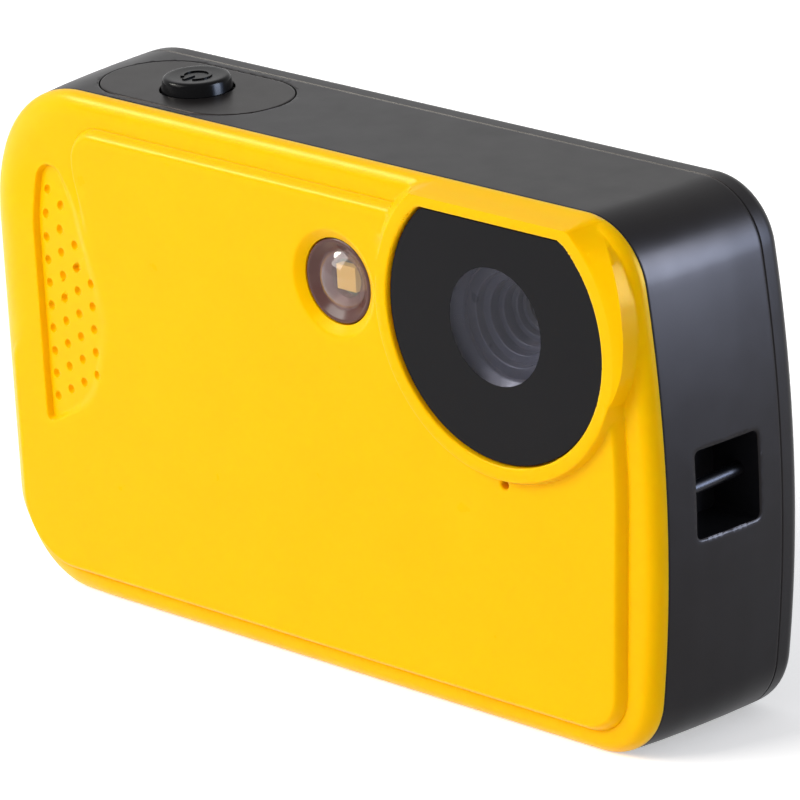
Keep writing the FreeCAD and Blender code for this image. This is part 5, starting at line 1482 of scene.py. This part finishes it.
    @staticmethod
    def _door_wall(b: MeshBuilder, rim: Array, floor: Array) -> None:
        """Adds the wall of the door's seat, left open where the latch's tongue passes.

        Args:
            b: Builder that takes it.
            rim: The wall's outer edge.
            floor: Its inner edge.
        """
        n = len(rim)
        rings = [rim, floor.copy(), floor.copy(), floor]
        rings[1][:, 0], rings[2][:, 0] = POCKET_X
        b.strip(rings[:2])
        b.strip(rings[2:])
        verts = np.vstack(rings[1:3])
        top = (rim[:, 2] > 49.5) & (rim[:, 1] > 9.9) & (rim[:, 1] < 15.7)
        open_side = top & np.roll(top, -1)
        b.add(verts, [(i, (i + 1) % n, n + (i + 1) % n, n + i) for i in range(n) if not open_side[i]])


# Rear cover

CASE_SCREWS = ((-46.0, 51.0), (-15.6, 58.2), (45.4, 56.6), (45.6, 8.8), (-15.6, 6.4), (-44.3, 8.2))


class Sign(Enum):
    """Generic signs on the rear keys."""

    POWER = "power"
    PLAY = "play"
    MENU = "menu"
    UP = "up"
    DOWN = "down"
    LEFT = "left"
    RIGHT = "right"
    OK = "ok"


@dataclass(frozen=True)
class Key:
    """One round rear key."""

    node: str
    body: str
    x: float
    z: float
    r: float
    sign: Sign


KEYS = (
    Key("power_button", "power_key", -21.8, 49.0, 3.0, Sign.POWER),
    Key("playback_button", "playback_key", -45.0, 41.0, 2.9, Sign.PLAY),
    Key("menu_button", "menu_key", -27.0, 41.0, 2.9, Sign.MENU),
    Key("up_button", "up_key", -36.0, 34.2, 2.6, Sign.UP),
    Key("down_button", "down_key", -36.0, 17.8, 2.6, Sign.DOWN),
    Key("left_button", "left_key", -44.2, 26.0, 2.6, Sign.LEFT),
    Key("right_button", "right_key", -27.8, 26.0, 2.6, Sign.RIGHT),
    Key("ok_button", "ok_key", -36.0, 26.0, 3.4, Sign.OK),
)


@dataclass
class RearCover:
    """Black rear cover with its key openings, screen pane seat and screw seats."""

    palette: Palette
    pane_floor: float = 24.2
    screw_floor: float = 23.7
    lip: float = 0.1

    def holes(self) -> List[Tuple[Array, float, Optional[float]]]:
        """Openings of the cover.

        Returns:
            For each its outline, the depth of its wall's end, and the depth of its floor if it has one.
        """
        out: List[Tuple[Array, float, Optional[float]]] = [
            (circle(key.x, key.z, key.r + 0.25, 48), COVER_INNER, None) for key in KEYS]
        out.append((stadium(ROCKER_X, ROCKER_Z, *ROCKER, 0.6, 22), COVER_INNER, None))
        out.append((rounded_rect(-12.9, 43.3, 10.5, 54.7, 2.0), self.pane_floor, self.pane_floor))
        out.extend((circle(x, z, 1.95, 32), self.screw_floor, self.screw_floor) for x, z in CASE_SCREWS)
        return out

    def build(self) -> bpy.types.Object:
        """Makes the cover's skin and puts it in place of its CAD node.

        Returns:
            The cover.
        """
        holes = self.holes()
        sheet = Sheet()
        for inset in (0.0, 0.02, 0.07, 0.18, 0.36, 0.62, 0.95, 1.3, 1.65, 1.9):
            sheet.loop(OUTLINE.loop(inset, SIDE_FLARE))
        for loop, _, _ in holes:
            middle = loop.mean(0)
            sheet.loop(loop)
            for grow in (0.06, 0.14, 0.22, 0.5):
                span = np.linalg.norm(loop - middle, axis=1)[:, None]
                sheet.scatter(middle + (loop - middle) * (1 + grow / span))
        grid = grid_points(-56, 56, 0, 65, 2.0)
        sheet.scatter(grid[OUTLINE.inset_of(grid[:, 0], grid[:, 1], SIDE_FLARE) > 2.6])

        def keep(x: Array, z: Array) -> Array:
            """Says which places are skin: inside the outline and outside the openings.

            Args:
                x: Places across.
                z: Heights.

            Returns:
                True for skin.
            """
            ok = OUTLINE.inset_of(x, z, SIDE_FLARE) > 1e-4
            for loop, _, _ in holes:
                ok &= signed_distance(np.c_[x, z], loop) < 0
            return ok

        flat, tris = sheet.triangles(keep)
        t = np.clip(1 - OUTLINE.inset_of(flat[:, 0], flat[:, 1], SIDE_FLARE) / REAR_EDGE_R, 0, 1)
        d = D_REAR - REAR_EDGE_R * (1 - np.sqrt(np.clip(1 - t * t, 0, 1)))
        for loop, _, _ in holes:
            away = -signed_distance(flat, loop)
            d = d - self.lip * np.clip(1 - away / 0.18, 0, 1) ** 2
        b = MeshBuilder()
        b.add(at_depth(flat, d), tris, flip=True)
        b.strip([at_depth(OUTLINE.loop(inset, SIDE_FLARE), depth) for inset, depth in (
            (2.2, D_SEAM + 0.02), (0.12, D_SEAM + 0.02), (0.0, D_SEAM + 0.14), (0.0, D_REAR - REAR_EDGE_R))])
        for loop, end, floor in holes:
            b.strip([at_depth(loop, D_REAR - self.lip), at_depth(loop, end)])
            if floor is not None:
                b.fan(at_depth(loop, floor), flip=True)
        obj = b.build("rear_cover_skin", [self.palette["body_black"]], 42)
        return stand_in(obj, "rear_cover")


def sign_shapes(sign: Sign) -> List[Array]:
    """Flat outlines of a sign, about 2 mm across, round (0, 0), x to the right and z up.

    Args:
        sign: Which sign.

    Returns:
        One or more outlines.
    """
    def ring(r0: float, r1: float, a0: float, a1: float) -> Array:
        """Part of a ring, between two radii and two angles."""
        return np.vstack([arc_points(0, 0, r1, a0, a1, 40), arc_points(0, 0, r0, a1, a0, 40)])

    def bar(x0: float, x1: float, z0: float, z1: float) -> Array:
        """Plain rectangle."""
        return np.array([(x0, z0), (x1, z0), (x1, z1), (x0, z1)], float)

    arrow = np.array([(-0.8, -0.45), (0.8, -0.45), (0.0, 0.75)])
    turn = {Sign.UP: 0, Sign.LEFT: 90, Sign.DOWN: 180, Sign.RIGHT: 270}
    if sign is Sign.POWER:
        return [ring(0.85, 1.1, 120, 420), bar(-0.13, 0.13, 0.25, 1.25)]
    if sign is Sign.PLAY:
        return [np.array([(-0.55, -0.8), (0.95, 0.0), (-0.55, 0.8)])]
    if sign is Sign.MENU:
        return [bar(-1.0, 1.0, z - 0.13, z + 0.13) for z in (-0.65, 0.0, 0.65)]
    if sign is Sign.OK:
        return [ring(1.2, 1.5, 0, 359.9)]
    a = math.radians(turn[sign])
    spin = np.array([(math.cos(a), math.sin(a)), (-math.sin(a), math.cos(a))])
    return [arrow @ spin]


def add_flat(b: MeshBuilder, shape: Array, origin: Tuple[float, float, float], facing: str, height: float,
             mat: int) -> None:
    """Adds a thin raised flat sign.

    Args:
        b: Builder that takes it.
        shape: Its outline.
        origin: x, depth, z of its middle, on the surface it stands on.
        facing: "back" or "up".
        height: How far it stands out.
        mat: Material index.
    """
    sheet = Sheet(0.01)
    sheet.loop(shape)
    flat, tris = sheet.triangles(lambda u, v: signed_distance(np.c_[u, v], shape) > 0)

    def lift(p: Array, h: float) -> Array:
        """Sets flat points on the surface, with their first axis turned to the viewer's right.

        Args:
            p: Flat points.
            h: How far they stand out.

        Returns:
            Points as rows of x, depth, z.
        """
        if facing == "back":
            return at_depth(np.c_[origin[0] - p[:, 0], origin[2] + p[:, 1]], origin[1] + h)
        return at_height(np.c_[origin[0] - p[:, 0], origin[1] - p[:, 1]], origin[2] + h)

    b.add(lift(flat, height), tris, mat)
    b.strip([lift(shape, height), lift(shape, -0.05)], mat)


@dataclass
class RearControls:
    """Keys, zoom rocker and screen pane on the back."""

    palette: Palette
    key_foot: float = 23.1
    flange_end: float = 22.3
    plunger_r: float = 1.2
    plunger_end: float = 21.3

    def _cap(self, b: MeshBuilder, name: str, node_name: str, body: str) -> bpy.types.Object:
        """Makes a printed grey cap that stands for a CAD node and moves with a body."""
        obj = b.build(name, [self.palette["key_grey"], self.palette["sign_white"]], 45)
        return stand_in(obj, node_name, body)

    def key(self, key: Key) -> bpy.types.Object:
        """Makes one key: domed cap with a rounded edge, flange, plunger and its sign.

        Args:
            key: Which key.

        Returns:
            The key.
        """
        r = key.r
        cap = [(0.0, 0.10), (r * 0.4, 0.09), (r * 0.7, 0.05), (r - 0.45, 0.005), (r - 0.30, 0.02),
               (r - 0.12, 0.12), (r - 0.03, 0.26), (r, 0.42)]
        profile = [(across, KEY_TOP - drop) for across, drop in cap]
        flange, plunger = r + 0.7, self.plunger_r
        profile += [(r, self.key_foot), (flange, self.key_foot), (flange, self.flange_end),
                    (plunger, self.flange_end), (plunger, self.plunger_end), (0.0, self.plunger_end)]
        b = MeshBuilder()
        b.lathe(profile, (key.x, 0.0, key.z), "d", 64)
        for shape in sign_shapes(key.sign):
            add_flat(b, shape * (r / 3.0), (key.x, KEY_TOP - 0.09, key.z), "back", 0.06, 1)
        return self._cap(b, key.node + "_cap", key.node, key.body)

    def rocker(self) -> bpy.types.Object:
        """Makes the zoom rocker, sunk in its middle, with a plus and a minus sign.

        Returns:
            The rocker.
        """
        b = MeshBuilder()
        rings = [at_depth(stadium(ROCKER_X, ROCKER_Z, *ROCKER, grow, 26), depth) for grow, depth in (
            (0.0, COVER_INNER), (0.0, KEY_TOP - 0.45), (-0.06, KEY_TOP - 0.22), (-0.2, KEY_TOP - 0.07),
            (-0.45, KEY_TOP))]
        inner = stadium(ROCKER_X, ROCKER_Z, 12.2, 4.8, -0.6, 26)
        sink = KEY_TOP - 0.25 * np.clip(1 - np.abs(inner[:, 0] - ROCKER_X) / 4.0, 0, 1)
        middle = np.array([ROCKER_X, ROCKER_Z])
        rings.append(at_depth(inner, sink))
        rings.append(at_depth(middle + (inner - middle) * (0.6, 0.4), sink - 0.02))
        rings.append(at_depth(middle + (inner - middle) * (0.6, 0.004), sink - 0.02))
        b.strip(rings, flip=True)
        b.box(ROCKER_X - 1.5, ROCKER_X + 1.5, 21.2, 22.7, ROCKER_Z - 2.4, ROCKER_Z + 2.4)
        bar = np.array([(-0.7, -0.12), (0.7, -0.12), (0.7, 0.12), (-0.7, 0.12)])
        upright = np.array([(-0.12, -0.7), (0.12, -0.7), (0.12, 0.7), (-0.12, 0.7)])
        for side, signs in ((-1, (bar, upright)), (1, (bar,))):
            x = ROCKER_X + side * ROCKER_PAD
            b.lathe([(1.2, 22.7), (1.2, 21.8), (0.0, 21.8)], (x, 0.0, ROCKER_Z), "d", 32)
            for shape in signs:
                add_flat(b, shape, (x, KEY_TOP - 0.05, ROCKER_Z), "back", 0.07, 1)
        return self._cap(b, "zoom_rocker_cap", "zoom_rocker", "zoom_control")

    def pane(self) -> bpy.types.Object:
        """Makes the screen's window with its bevelled edge.

        Returns:
            The window.
        """
        b = MeshBuilder()
        rings = [at_depth(rounded_rect(-12.8, 43.2, 10.6, 54.6, 1.9, grow), depth) for grow, depth in (
            (0.0, 24.2), (0.0, 25.08), (-0.04, 25.16), (-0.12, D_REAR))]
        b.strip(rings, flip=True)
        b.fan(rings[-1], flip=True)
        b.fan(rings[0])
        obj = b.build("lcd_window_pane", [self.palette["screen_glass"]], 8)
        return stand_in(obj, "lcd_window")


@dataclass(frozen=True)
class Repeat:
    """A turned piece, the same at several places, whose outer end faces the rear.

    Sizes are in millimetres. A cross slot with a width of 0 is left out.
    """

    node: str
    slot: str
    places: Tuple[Tuple[float, float], ...]
    outer_depth: float
    head_radius: float
    head_height: float
    edge: float
    shaft_radius: float = 0.0
    shaft_length: float = 0.0
    slot_width: float = 0.0
    slot_length: float = 0.0
    slot_depth: float = 0.0


REPEATS = (
    Repeat("case_screws", "steel_black", CASE_SCREWS, outer_depth=24.9, head_radius=1.8, head_height=1.2,
           edge=0.22, shaft_radius=0.95, shaft_length=14.0, slot_width=0.5, slot_length=2.2, slot_depth=0.6),
    Repeat("board_screws", "steel", ((9.0, 9.0), (40.4, 27.0), (-0.3, 57.6)), outer_depth=15.4,
           head_radius=1.4, head_height=0.8, edge=0.18, shaft_radius=0.7, shaft_length=4.0, slot_width=0.4,
           slot_length=1.7, slot_depth=0.4),
    Repeat("key_domes", "steel", tuple((key.x, key.z) for key in KEYS) + tuple(
        (ROCKER_X + side * ROCKER_PAD, ROCKER_Z) for side in (-1, 1)), outer_depth=20.3, head_radius=2.0,
        head_height=0.3, edge=0.28),
)


class RepeatTree:
    """Geometry node tree that sets one turned piece on every point of a mesh."""

    SIZES = ("Head Radius", "Head Height", "Edge", "Shaft Radius", "Shaft Length", "Slot Width",
             "Slot Length", "Slot Depth")

    def __init__(self, item: Repeat, material: bpy.types.Material) -> None:
        """Builds the tree.

        Args:
            item: The piece.
            material: Its material.
        """
        self.tree = tree = bpy.data.node_groups.new(item.node + "_tree", "GeometryNodeTree")
        face = tree.interface
        face.new_socket("Geometry", in_out="INPUT", socket_type="NodeSocketGeometry")
        self.sockets = {name: face.new_socket(name, in_out="INPUT", socket_type="NodeSocketFloat").identifier
                        for name in self.SIZES}
        face.new_socket("Geometry", in_out="OUTPUT", socket_type="NodeSocketGeometry")
        given = node(tree, "NodeGroupInput").node.outputs
        radius, height, edge, shaft = (
            given[name] for name in ("Head Radius", "Head Height", "Edge", "Shaft Length"))
        # The head is a bevelled edge over a straight drum. Each part is listed with the level of its middle,
        # measured from the outer end.
        top = node(tree, "ShaderNodeMath", {0: radius, 1: edge}, operation="SUBTRACT")
        cone = node(tree, "GeometryNodeMeshCone", {"Vertices": 48, "Radius Top": top, "Radius Bottom": radius,
                                                   "Depth": edge})
        straight = node(tree, "ShaderNodeMath", {0: height, 1: edge}, operation="SUBTRACT")
        drum = node(tree, "GeometryNodeMeshCylinder", {"Vertices": 48, "Radius": radius, "Depth": straight})
        ends = node(tree, "ShaderNodeMath", {0: height, 1: edge}, operation="ADD")
        parts = [(cone, node(tree, "ShaderNodeMath", {0: edge, 1: -1.0}, operation="MULTIPLY")),
                 (drum, node(tree, "ShaderNodeMath", {0: ends, 1: -0.5}, operation="MULTIPLY"))]
        if item.shaft_radius:
            shank = node(tree, "GeometryNodeMeshCylinder", {"Vertices": 32, "Radius": given["Shaft Radius"],
                                                            "Depth": shaft})
            half = node(tree, "ShaderNodeMath", {0: shaft, 1: -0.5}, operation="MULTIPLY")
            parts.append((shank, node(tree, "ShaderNodeMath", {0: half, 1: height}, operation="SUBTRACT")))
        placed = []
        for mesh, level in reversed(parts):
            shift = node(tree, "ShaderNodeCombineXYZ", {"Z": level})
            placed.append(node(tree, "GeometryNodeTransform", {"Geometry": mesh, "Translation": shift}))
        shape = node(tree, "GeometryNodeMeshBoolean", {"Mesh 2": placed}, operation="UNION")
        if item.slot_width:
            deep = node(tree, "ShaderNodeMath", {0: given["Slot Depth"], 1: 2.0}, operation="MULTIPLY")
            bars = []
            for first, second in (("Slot Length", "Slot Width"), ("Slot Width", "Slot Length")):
                size = node(tree, "ShaderNodeCombineXYZ", {"X": given[first], "Y": given[second], "Z": deep})
                bars.append(node(tree, "GeometryNodeMeshCube", {"Size": size}))
            shape = node(tree, "GeometryNodeMeshBoolean", {"Mesh 1": shape, "Mesh 2": bars},
                         operation="DIFFERENCE")
        spread = node(tree, "GeometryNodeInstanceOnPoints", {
            "Points": given["Geometry"], "Instance": shape, "Rotation": (-math.pi / 2, 0.0, 0.0)})
        real = node(tree, "GeometryNodeRealizeInstances", {"Geometry": spread})
        dressed = node(tree, "GeometryNodeSetMaterial", {"Geometry": real, "Material": material})
        node(tree, "NodeGroupOutput", {"Geometry": dressed})


def repeat_pieces(item: Repeat, palette: Palette) -> bpy.types.Object:
    """Makes all copies of a turned piece as one plain mesh.

    Args:
        item: What to repeat, and where.
        palette: Materials by slot.

    Returns:
        The object.
    """
    maker = RepeatTree(item, palette[item.slot])
    points = bpy.data.meshes.new(item.node + "_points")
    y = (item.outer_depth - DEPTH_MIDDLE) * MM
    points.from_pydata([(x * MM, y, z * MM) for x, z in item.places], [], [])
    carrier = bpy.data.objects.new(item.node + "_points", points)
    bpy.context.scene.collection.objects.link(carrier)
    modifier = carrier.modifiers.new("repeat", "NODES")
    modifier.node_group = maker.tree
    sizes = (item.head_radius, item.head_height, item.edge, item.shaft_radius, item.shaft_length,
             item.slot_width, item.slot_length, item.slot_depth)
    for name, size in zip(maker.SIZES, sizes):
        modifier[maker.sockets[name]] = size * MM
    evaluated = carrier.evaluated_get(bpy.context.evaluated_depsgraph_get())
    mesh = bpy.data.meshes.new_from_object(evaluated)
    carrier.modifiers.remove(modifier)
    bpy.data.objects.remove(carrier)
    mesh.name = item.node + "_set"
    mesh.shade_smooth()
    mesh.set_sharp_from_angle(angle=math.radians(35))
    obj = bpy.data.objects.new(item.node + "_set", mesh)
    bpy.context.scene.collection.objects.link(obj)
    LOG.info("%s: %d faces", obj.name, len(mesh.polygons))
    return stand_in(obj, item.node)


# Lens

@dataclass
class LensStack:
    """Window, stepped baffle and lens behind it."""

    palette: Palette
    window_front: float = 0.55
    window_back: float = 1.75
    clear_r: float = 7.03
    back_clear_r: float = 8.6
    step_edge: float = 0.16
    glass_r: float = 2.9
    glass_thickness: float = 1.1

    def window(self) -> bpy.types.Object:
        """Makes the window: printed round a clear circle, with a fine bevel.

        Returns:
            The window.
        """
        b = MeshBuilder()
        for flip, depth, grow, r in ((False, self.window_front, -0.32, self.clear_r),
                                     (True, self.window_back, -0.2, self.back_clear_r)):
            edge = opening_loop(grow)
            hole = circle(LENS_X, LENS_Z, r, 96)
            sheet = Sheet()
            sheet.loop(edge)
            sheet.loop(hole)
            sheet.scatter(circle(LENS_X, LENS_Z, 11.5, 80))
            flat, tris = sheet.triangles(lambda u, v: (signed_distance(np.c_[u, v], edge) > 0) & (
                np.hypot(u - LENS_X, v - LENS_Z) > r - 0.03))
            b.add(at_depth(flat, depth), tris, 0, flip)
            b.fan(at_depth(hole, depth), 1, flip)
        b.strip([at_depth(opening_loop(grow), depth) for grow, depth in (
            (-0.32, self.window_front), (-0.24, 0.58), (-0.2, 0.67), (-0.2, self.window_back))])
        obj = b.build("lens_window_pane", [self.palette["window_print"], self.palette["window_smoke"]], 30)
        return stand_in(obj, "lens_window")

    def baffle(self) -> bpy.types.Object:
        """Makes the stepped funnel, each step with a rounded front edge.

        Returns:
            The funnel.
        """
        start = self.window_back
        steps = [(0.0, 7.0), (1.7, 5.6), (2.9, 4.5), (4.3, 3.7), (5.7, 2.95), (6.7, 2.5)]
        ends = [depth for depth, _ in steps[1:]] + [7.4]
        inners = [r + 0.3 for _, r in steps[1:]] + [steps[-1][1]]
        profile = [(10.6, 2.75), (10.6, start + 0.02), (8.5, start + 0.02)]
        for i, ((depth, r), end, inner) in enumerate(zip(steps, ends, inners)):
            low = start + depth + (0.0 if i else 1.15)
            for turn in (90, 68, 45, 22, 0):
                a = math.radians(turn)
                profile.append((r + self.step_edge * (1 - math.cos(a)),
                                low + self.step_edge * (1 - math.sin(a))))
            profile += [(r - 0.02, start + end - 0.02), (inner, start + end)]
        profile += [(5.2, 9.15), (5.2, 5.25), (8.4, 5.25), (8.4, 2.75), (10.6, 2.75)]
        b = MeshBuilder()
        b.lathe(profile, (LENS_X, 0.0, LENS_Z), "d", 128)
        obj = b.build("light_baffle_funnel", [self.palette["baffle_grey"]], 20)
        return stand_in(obj, "light_baffle")

    def elements(self) -> bpy.types.Object:
        """Makes the two glass elements, each with a domed front.

        Returns:
            The elements.
        """
        b = MeshBuilder()
        for front, bulge in ((9.15, 0.7), (11.05, 0.4)):
            radius = (self.glass_r ** 2 + bulge ** 2) / (2 * bulge)
            profile = [(r, front + radius - math.sqrt(radius ** 2 - r ** 2))
                       for r in (self.glass_r * i / 12 for i in range(13))]
            back = front + self.glass_thickness
            b.lathe(profile + [(self.glass_r, back), (0.0, back)], (LENS_X, 0.0, LENS_Z), "d", 64)
        obj = b.build("lens_elements_glass", [self.palette["lens_glass"]], 35)
        return stand_in(obj, "lens_elements")


@dataclass
class Lamp:
    """Lamp beside the lens: dark ring and clear dome over the chip."""

    palette: Palette
    front: float = 1.8
    ring_r: float = 5.2
    well_r: float = 2.4
    dome_r: float = 5.0
    dome_edge: float = 4.1

    def ring(self) -> bpy.types.Object:
        """Makes the ring.

        Returns:
            The ring.
        """
        f = self.front
        b = MeshBuilder()
        b.lathe([(self.ring_r, f + 2.5), (self.ring_r, f + 0.25), (5.12, f + 0.08), (4.95, f),
                 (4.72, f + 0.02), (4.6, f + 0.1), (self.well_r, f + 1.4), (self.well_r, f + 2.5),
                 (self.ring_r, f + 2.5)], (LAMP_X, 0.0, LAMP_Z), "d", 96)
        obj = b.build("lamp_holder_ring", [self.palette["lamp_black"]], 40)
        return stand_in(obj, "lamp_holder")

    def dome(self) -> bpy.types.Object:
        """Makes the dome.

        Returns:
            The dome.
        """
        centre = self.front + 3.9
        back = self.front + 0.7
        profile = [(r, centre - math.sqrt(self.dome_r ** 2 - r * r))
                   for r in (4.05 * i / 14 for i in range(15))]
        rim = centre - math.sqrt(self.dome_r ** 2 - self.dome_edge ** 2) + 0.08
        profile += [(self.dome_edge, rim), (self.dome_edge, back), (0.0, back)]
        b = MeshBuilder()
        b.lathe(profile, (LAMP_X, 0.0, LAMP_Z), "d", 96)
        obj = b.build("lamp_dome_glass", [self.palette["lamp_clear"]], 50)
        return stand_in(obj, "lamp_dome")


@dataclass
class ShutterRelease:
    """Plate and button on top."""

    palette: Palette
    plate_edge: float = 0.12
    well_r: float = 4.67
    top: float = 66.6

    def plate(self) -> bpy.types.Object:
        """Makes the plate with its round well.

        Returns:
            The plate.
        """
        b = MeshBuilder()
        b.strip([at_height(stadium(BUTTON_X, D_BUTTON, *PLATE, grow), z) for grow, z in (
            (0.0, 63.4), (0.0, 64.88), (-0.04, 64.95), (-self.plate_edge, HEIGHT))])
        sheet = Sheet()
        edge = stadium(BUTTON_X, D_BUTTON, *PLATE, -self.plate_edge)
        sheet.loop(edge)
        sheet.loop(circle(BUTTON_X, D_BUTTON, self.well_r, 72))
        for r in (4.9, 5.4, 6.1, 6.9):
            sheet.scatter(circle(BUTTON_X, D_BUTTON, r, 64))
        for grow in (-0.3, -0.7):
            sheet.scatter(stadium(BUTTON_X, D_BUTTON, *PLATE, grow))
        sheet.scatter(grid_points(BUTTON_X - 13.0, BUTTON_X + 13.0, D_BUTTON - 7.0, D_BUTTON + 7.0, 0.9))
        flat, tris = sheet.triangles(lambda u, v: (signed_distance(np.c_[u, v], edge) > 0) & (
            np.hypot(u - BUTTON_X, v - D_BUTTON) > self.well_r - 0.02))
        b.add(at_height(flat, HEIGHT), tris)
        b.lathe([(self.well_r, HEIGHT), (4.6, 64.96), (4.55, 64.86), (4.55, 63.9), (1.55, 63.9), (1.55, 63.4),
                 (5.0, 63.4)], (BUTTON_X, D_BUTTON, 0.0), "z", 72, flip=True)
        obj = b.build("top_plate_cap", [self.palette["plate_black"]], 35)
        return stand_in(obj, "top_plate")

    def button(self) -> bpy.types.Object:
        """Makes the button, hollow under its cap, with its embossed power sign.

        Returns:
            The button.
        """
        cap = [(0.0, 0.10), (2.0, 0.08), (3.2, 0.03), (3.62, 0.0), (3.8, 0.03), (3.98, 0.12), (4.1, 0.28),
               (4.15, 0.5)]
        profile = [(r, self.top - drop) for r, drop in cap]
        profile += [(4.35, 64.9), (3.1, 64.9), (3.1, 65.5), (1.5, 65.5), (1.5, 60.6), (0.0, 60.6)]
        b = MeshBuilder()
        b.lathe(profile, (BUTTON_X, D_BUTTON, 0.0), "z", 96, flip=True)
        for shape in sign_shapes(Sign.POWER):
            add_flat(b, shape * 1.75, (BUTTON_X, D_BUTTON, self.top - 0.09), "up", 0.16, 0)
        obj = b.build("shutter_button_cap", [self.palette["button_black"]], 35)
        return stand_in(obj, "shutter_button", "shutter_release")


# Scene

@dataclass(frozen=True)
class Light:
    """A soft rectangular light.

    place and target are in metres, size is width and height in metres and power is in watts. One that is
    gleam_only shows in reflections, without lighting colours up.
    """

    name: str
    place: Tuple[float, float, float]
    target: Tuple[float, float, float]
    size: Tuple[float, float]
    power: float
    colour: str
    gleam_only: bool = True

    def add(self) -> None:
        """Adds the light to the scene."""
        data = bpy.data.lights.new(self.name, "AREA")
        data.shape = "RECTANGLE"
        data.size, data.size_y = self.size
        data.energy = self.power
        data.color = linear(self.colour)[:3]
        obj = bpy.data.objects.new(self.name, data)
        obj.location = self.place
        obj.rotation_euler = (Vector(self.target) - Vector(self.place)).to_track_quat("-Z", "Y").to_euler()
        obj.visible_camera = False
        obj.visible_diffuse = not self.gleam_only
        bpy.context.scene.collection.objects.link(obj)


LIGHTS = (
    Light("key_soft", (-0.62, -0.92, 0.86), (0, 0, 0.03), (0.9, 0.9), 16.5, "#FFFCF6", gleam_only=False),
    Light("edge_gleam", (-0.85, -0.46, 0.83), (0, 0, 0.05), (0.35, 0.35), 13.0, "#FFFFF4"),
    Light("side_gleam", (0.73, 0.36, 0.23), (0.05, 0, 0.05), (0.34, 0.58), 24.0, "#D8E6FF"),
    Light("side_haze", (0.74, 0.40, 0.02), (0.05, 0, 0.05), (0.60, 0.60), 8.0, "#A8C6FF"),
)


def rotation_from_vector(rotvec: Tuple[float, float, float]) -> Matrix:
    """Rotation matrix of an axis whose length is the angle."""
    v = Vector(rotvec)
    return Matrix.Rotation(v.length, 3, v.normalized())


def place_camera() -> None:
    """Puts the camera where the photograph was taken from."""
    turn = rotation_from_vector((1.8288, 0.6943, -0.56)).transposed()
    look = turn @ Matrix(((1, 0, 0), (0, -1, 0), (0, 0, -1)))
    data = bpy.data.cameras.new("view")
    data.lens = 285.03
    data.sensor_width = 36.0
    data.sensor_fit = "HORIZONTAL"
    data.shift_x = -0.001
    data.shift_y = 0.0016
    data.clip_start = 0.05
    data.clip_end = 20.0
    obj = bpy.data.objects.new("view", data)
    obj.matrix_world = Matrix.Translation((0.50055, -0.50029, 0.28465)) @ look.to_4x4()
    bpy.context.scene.collection.objects.link(obj)
    bpy.context.scene.camera = obj


def seen(tree: bpy.types.NodeTree) -> bpy.types.NodeSocket:
    """1 for what is looked at, directly, in a reflection or through glass, and 0 for light that falls on it.

    Args:
        tree: Tree that takes the nodes.

    Returns:
        The value.
    """
    rays = node(tree, "ShaderNodeLightPath").node.outputs
    straight = node(tree, "ShaderNodeMath", {0: rays["Is Camera Ray"], 1: rays["Is Glossy Ray"]},
                    operation="MAXIMUM")
    return node(tree, "ShaderNodeMath", {0: straight, 1: rays["Is Transmission Ray"]}, operation="MAXIMUM")


def pale_floor() -> None:
    """Adds the floor, a sheet of matte paper that takes shadows and looks white."""
    size = 6.0
    corners = [(-size, -size, 0), (size, -size, 0), (size, size, 0), (-size, size, 0)]
    mesh = bpy.data.meshes.new("floor")
    mesh.from_pydata(corners, [], [(0, 1, 2, 3)])
    floor = bpy.data.objects.new("floor", mesh)
    bpy.context.scene.collection.objects.link(floor)
    material, tree, at = start_material("paper_matte")
    tint = node(tree, "ShaderNodeMix", {0: mottled(tree, at, 400.0, reach=0.5), 6: linear("#FFFFFF"),
                                        7: linear("#FCFCFC")}, 2, data_type="RGBA")
    matte = node(tree, "ShaderNodeBsdfDiffuse", {"Color": tint})
    glow = node(tree, "ShaderNodeEmission", {"Color": linear("#FFFFFF"), "Strength": 0.45})
    lit = node(tree, "ShaderNodeAddShader", {0: matte, 1: glow})
    shader = node(tree, "ShaderNodeMixShader", {0: seen(tree), 1: matte, 2: lit})
    node(tree, "ShaderNodeOutputMaterial", {"Surface": shader})
    mesh.materials.append(material)


def pale_world() -> None:
    """Surrounds the scene with soft light that looks white."""
    world = bpy.data.worlds.new("studio")
    world.use_nodes = True
    tree = world.node_tree
    tree.nodes.clear()
    soft = node(tree, "ShaderNodeBackground", {"Color": linear("#F4F5FA"), "Strength": 0.48})
    white = node(tree, "ShaderNodeBackground", {"Color": linear("#FFFFFF"), "Strength": 1.0})
    mix = node(tree, "ShaderNodeMixShader", {0: seen(tree), 1: soft, 2: white})
    node(tree, "ShaderNodeOutputWorld", {"Surface": mix})
    bpy.context.scene.world = world


def dress_cad(palette: Palette) -> None:
    """Gives every CAD node that stays visible its material by the record's slot.

    Args:
        palette: Materials by slot.
    """
    for name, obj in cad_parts.items():
        for slot in obj.material_slots:
            base = slot.material.name.split(".")[0] if slot.material else ""
            if base in palette.made:
                slot.material = palette[base]
            else:
                LOG.warning("%s: no material for %s", name, base)


def main() -> None:
    """Builds the whole scene."""
    logging.basicConfig(level=logging.INFO, format="%(name)s: %(message)s")
    bpy.context.scene.view_settings.view_transform = "Standard"
    palette = Palette()
    dress_cad(palette)
    place_camera()
    pale_floor()
    pale_world()
    for light in LIGHTS:
        light.add()
    FrontShell(palette).build()
    MidFrame(palette).build()
    RearCover(palette).build()
    controls = RearControls(palette)
    for key in KEYS:
        controls.key(key)
    controls.rocker()
    controls.pane()
    for item in REPEATS:
        repeat_pieces(item, palette)
    lens = LensStack(palette)
    lens.window()
    lens.baffle()
    lens.elements()
    lamp = Lamp(palette)
    lamp.ring()
    lamp.dome()
    release = ShutterRelease(palette)
    release.plate()
    release.button()


if __name__ == "__main__":
    main()
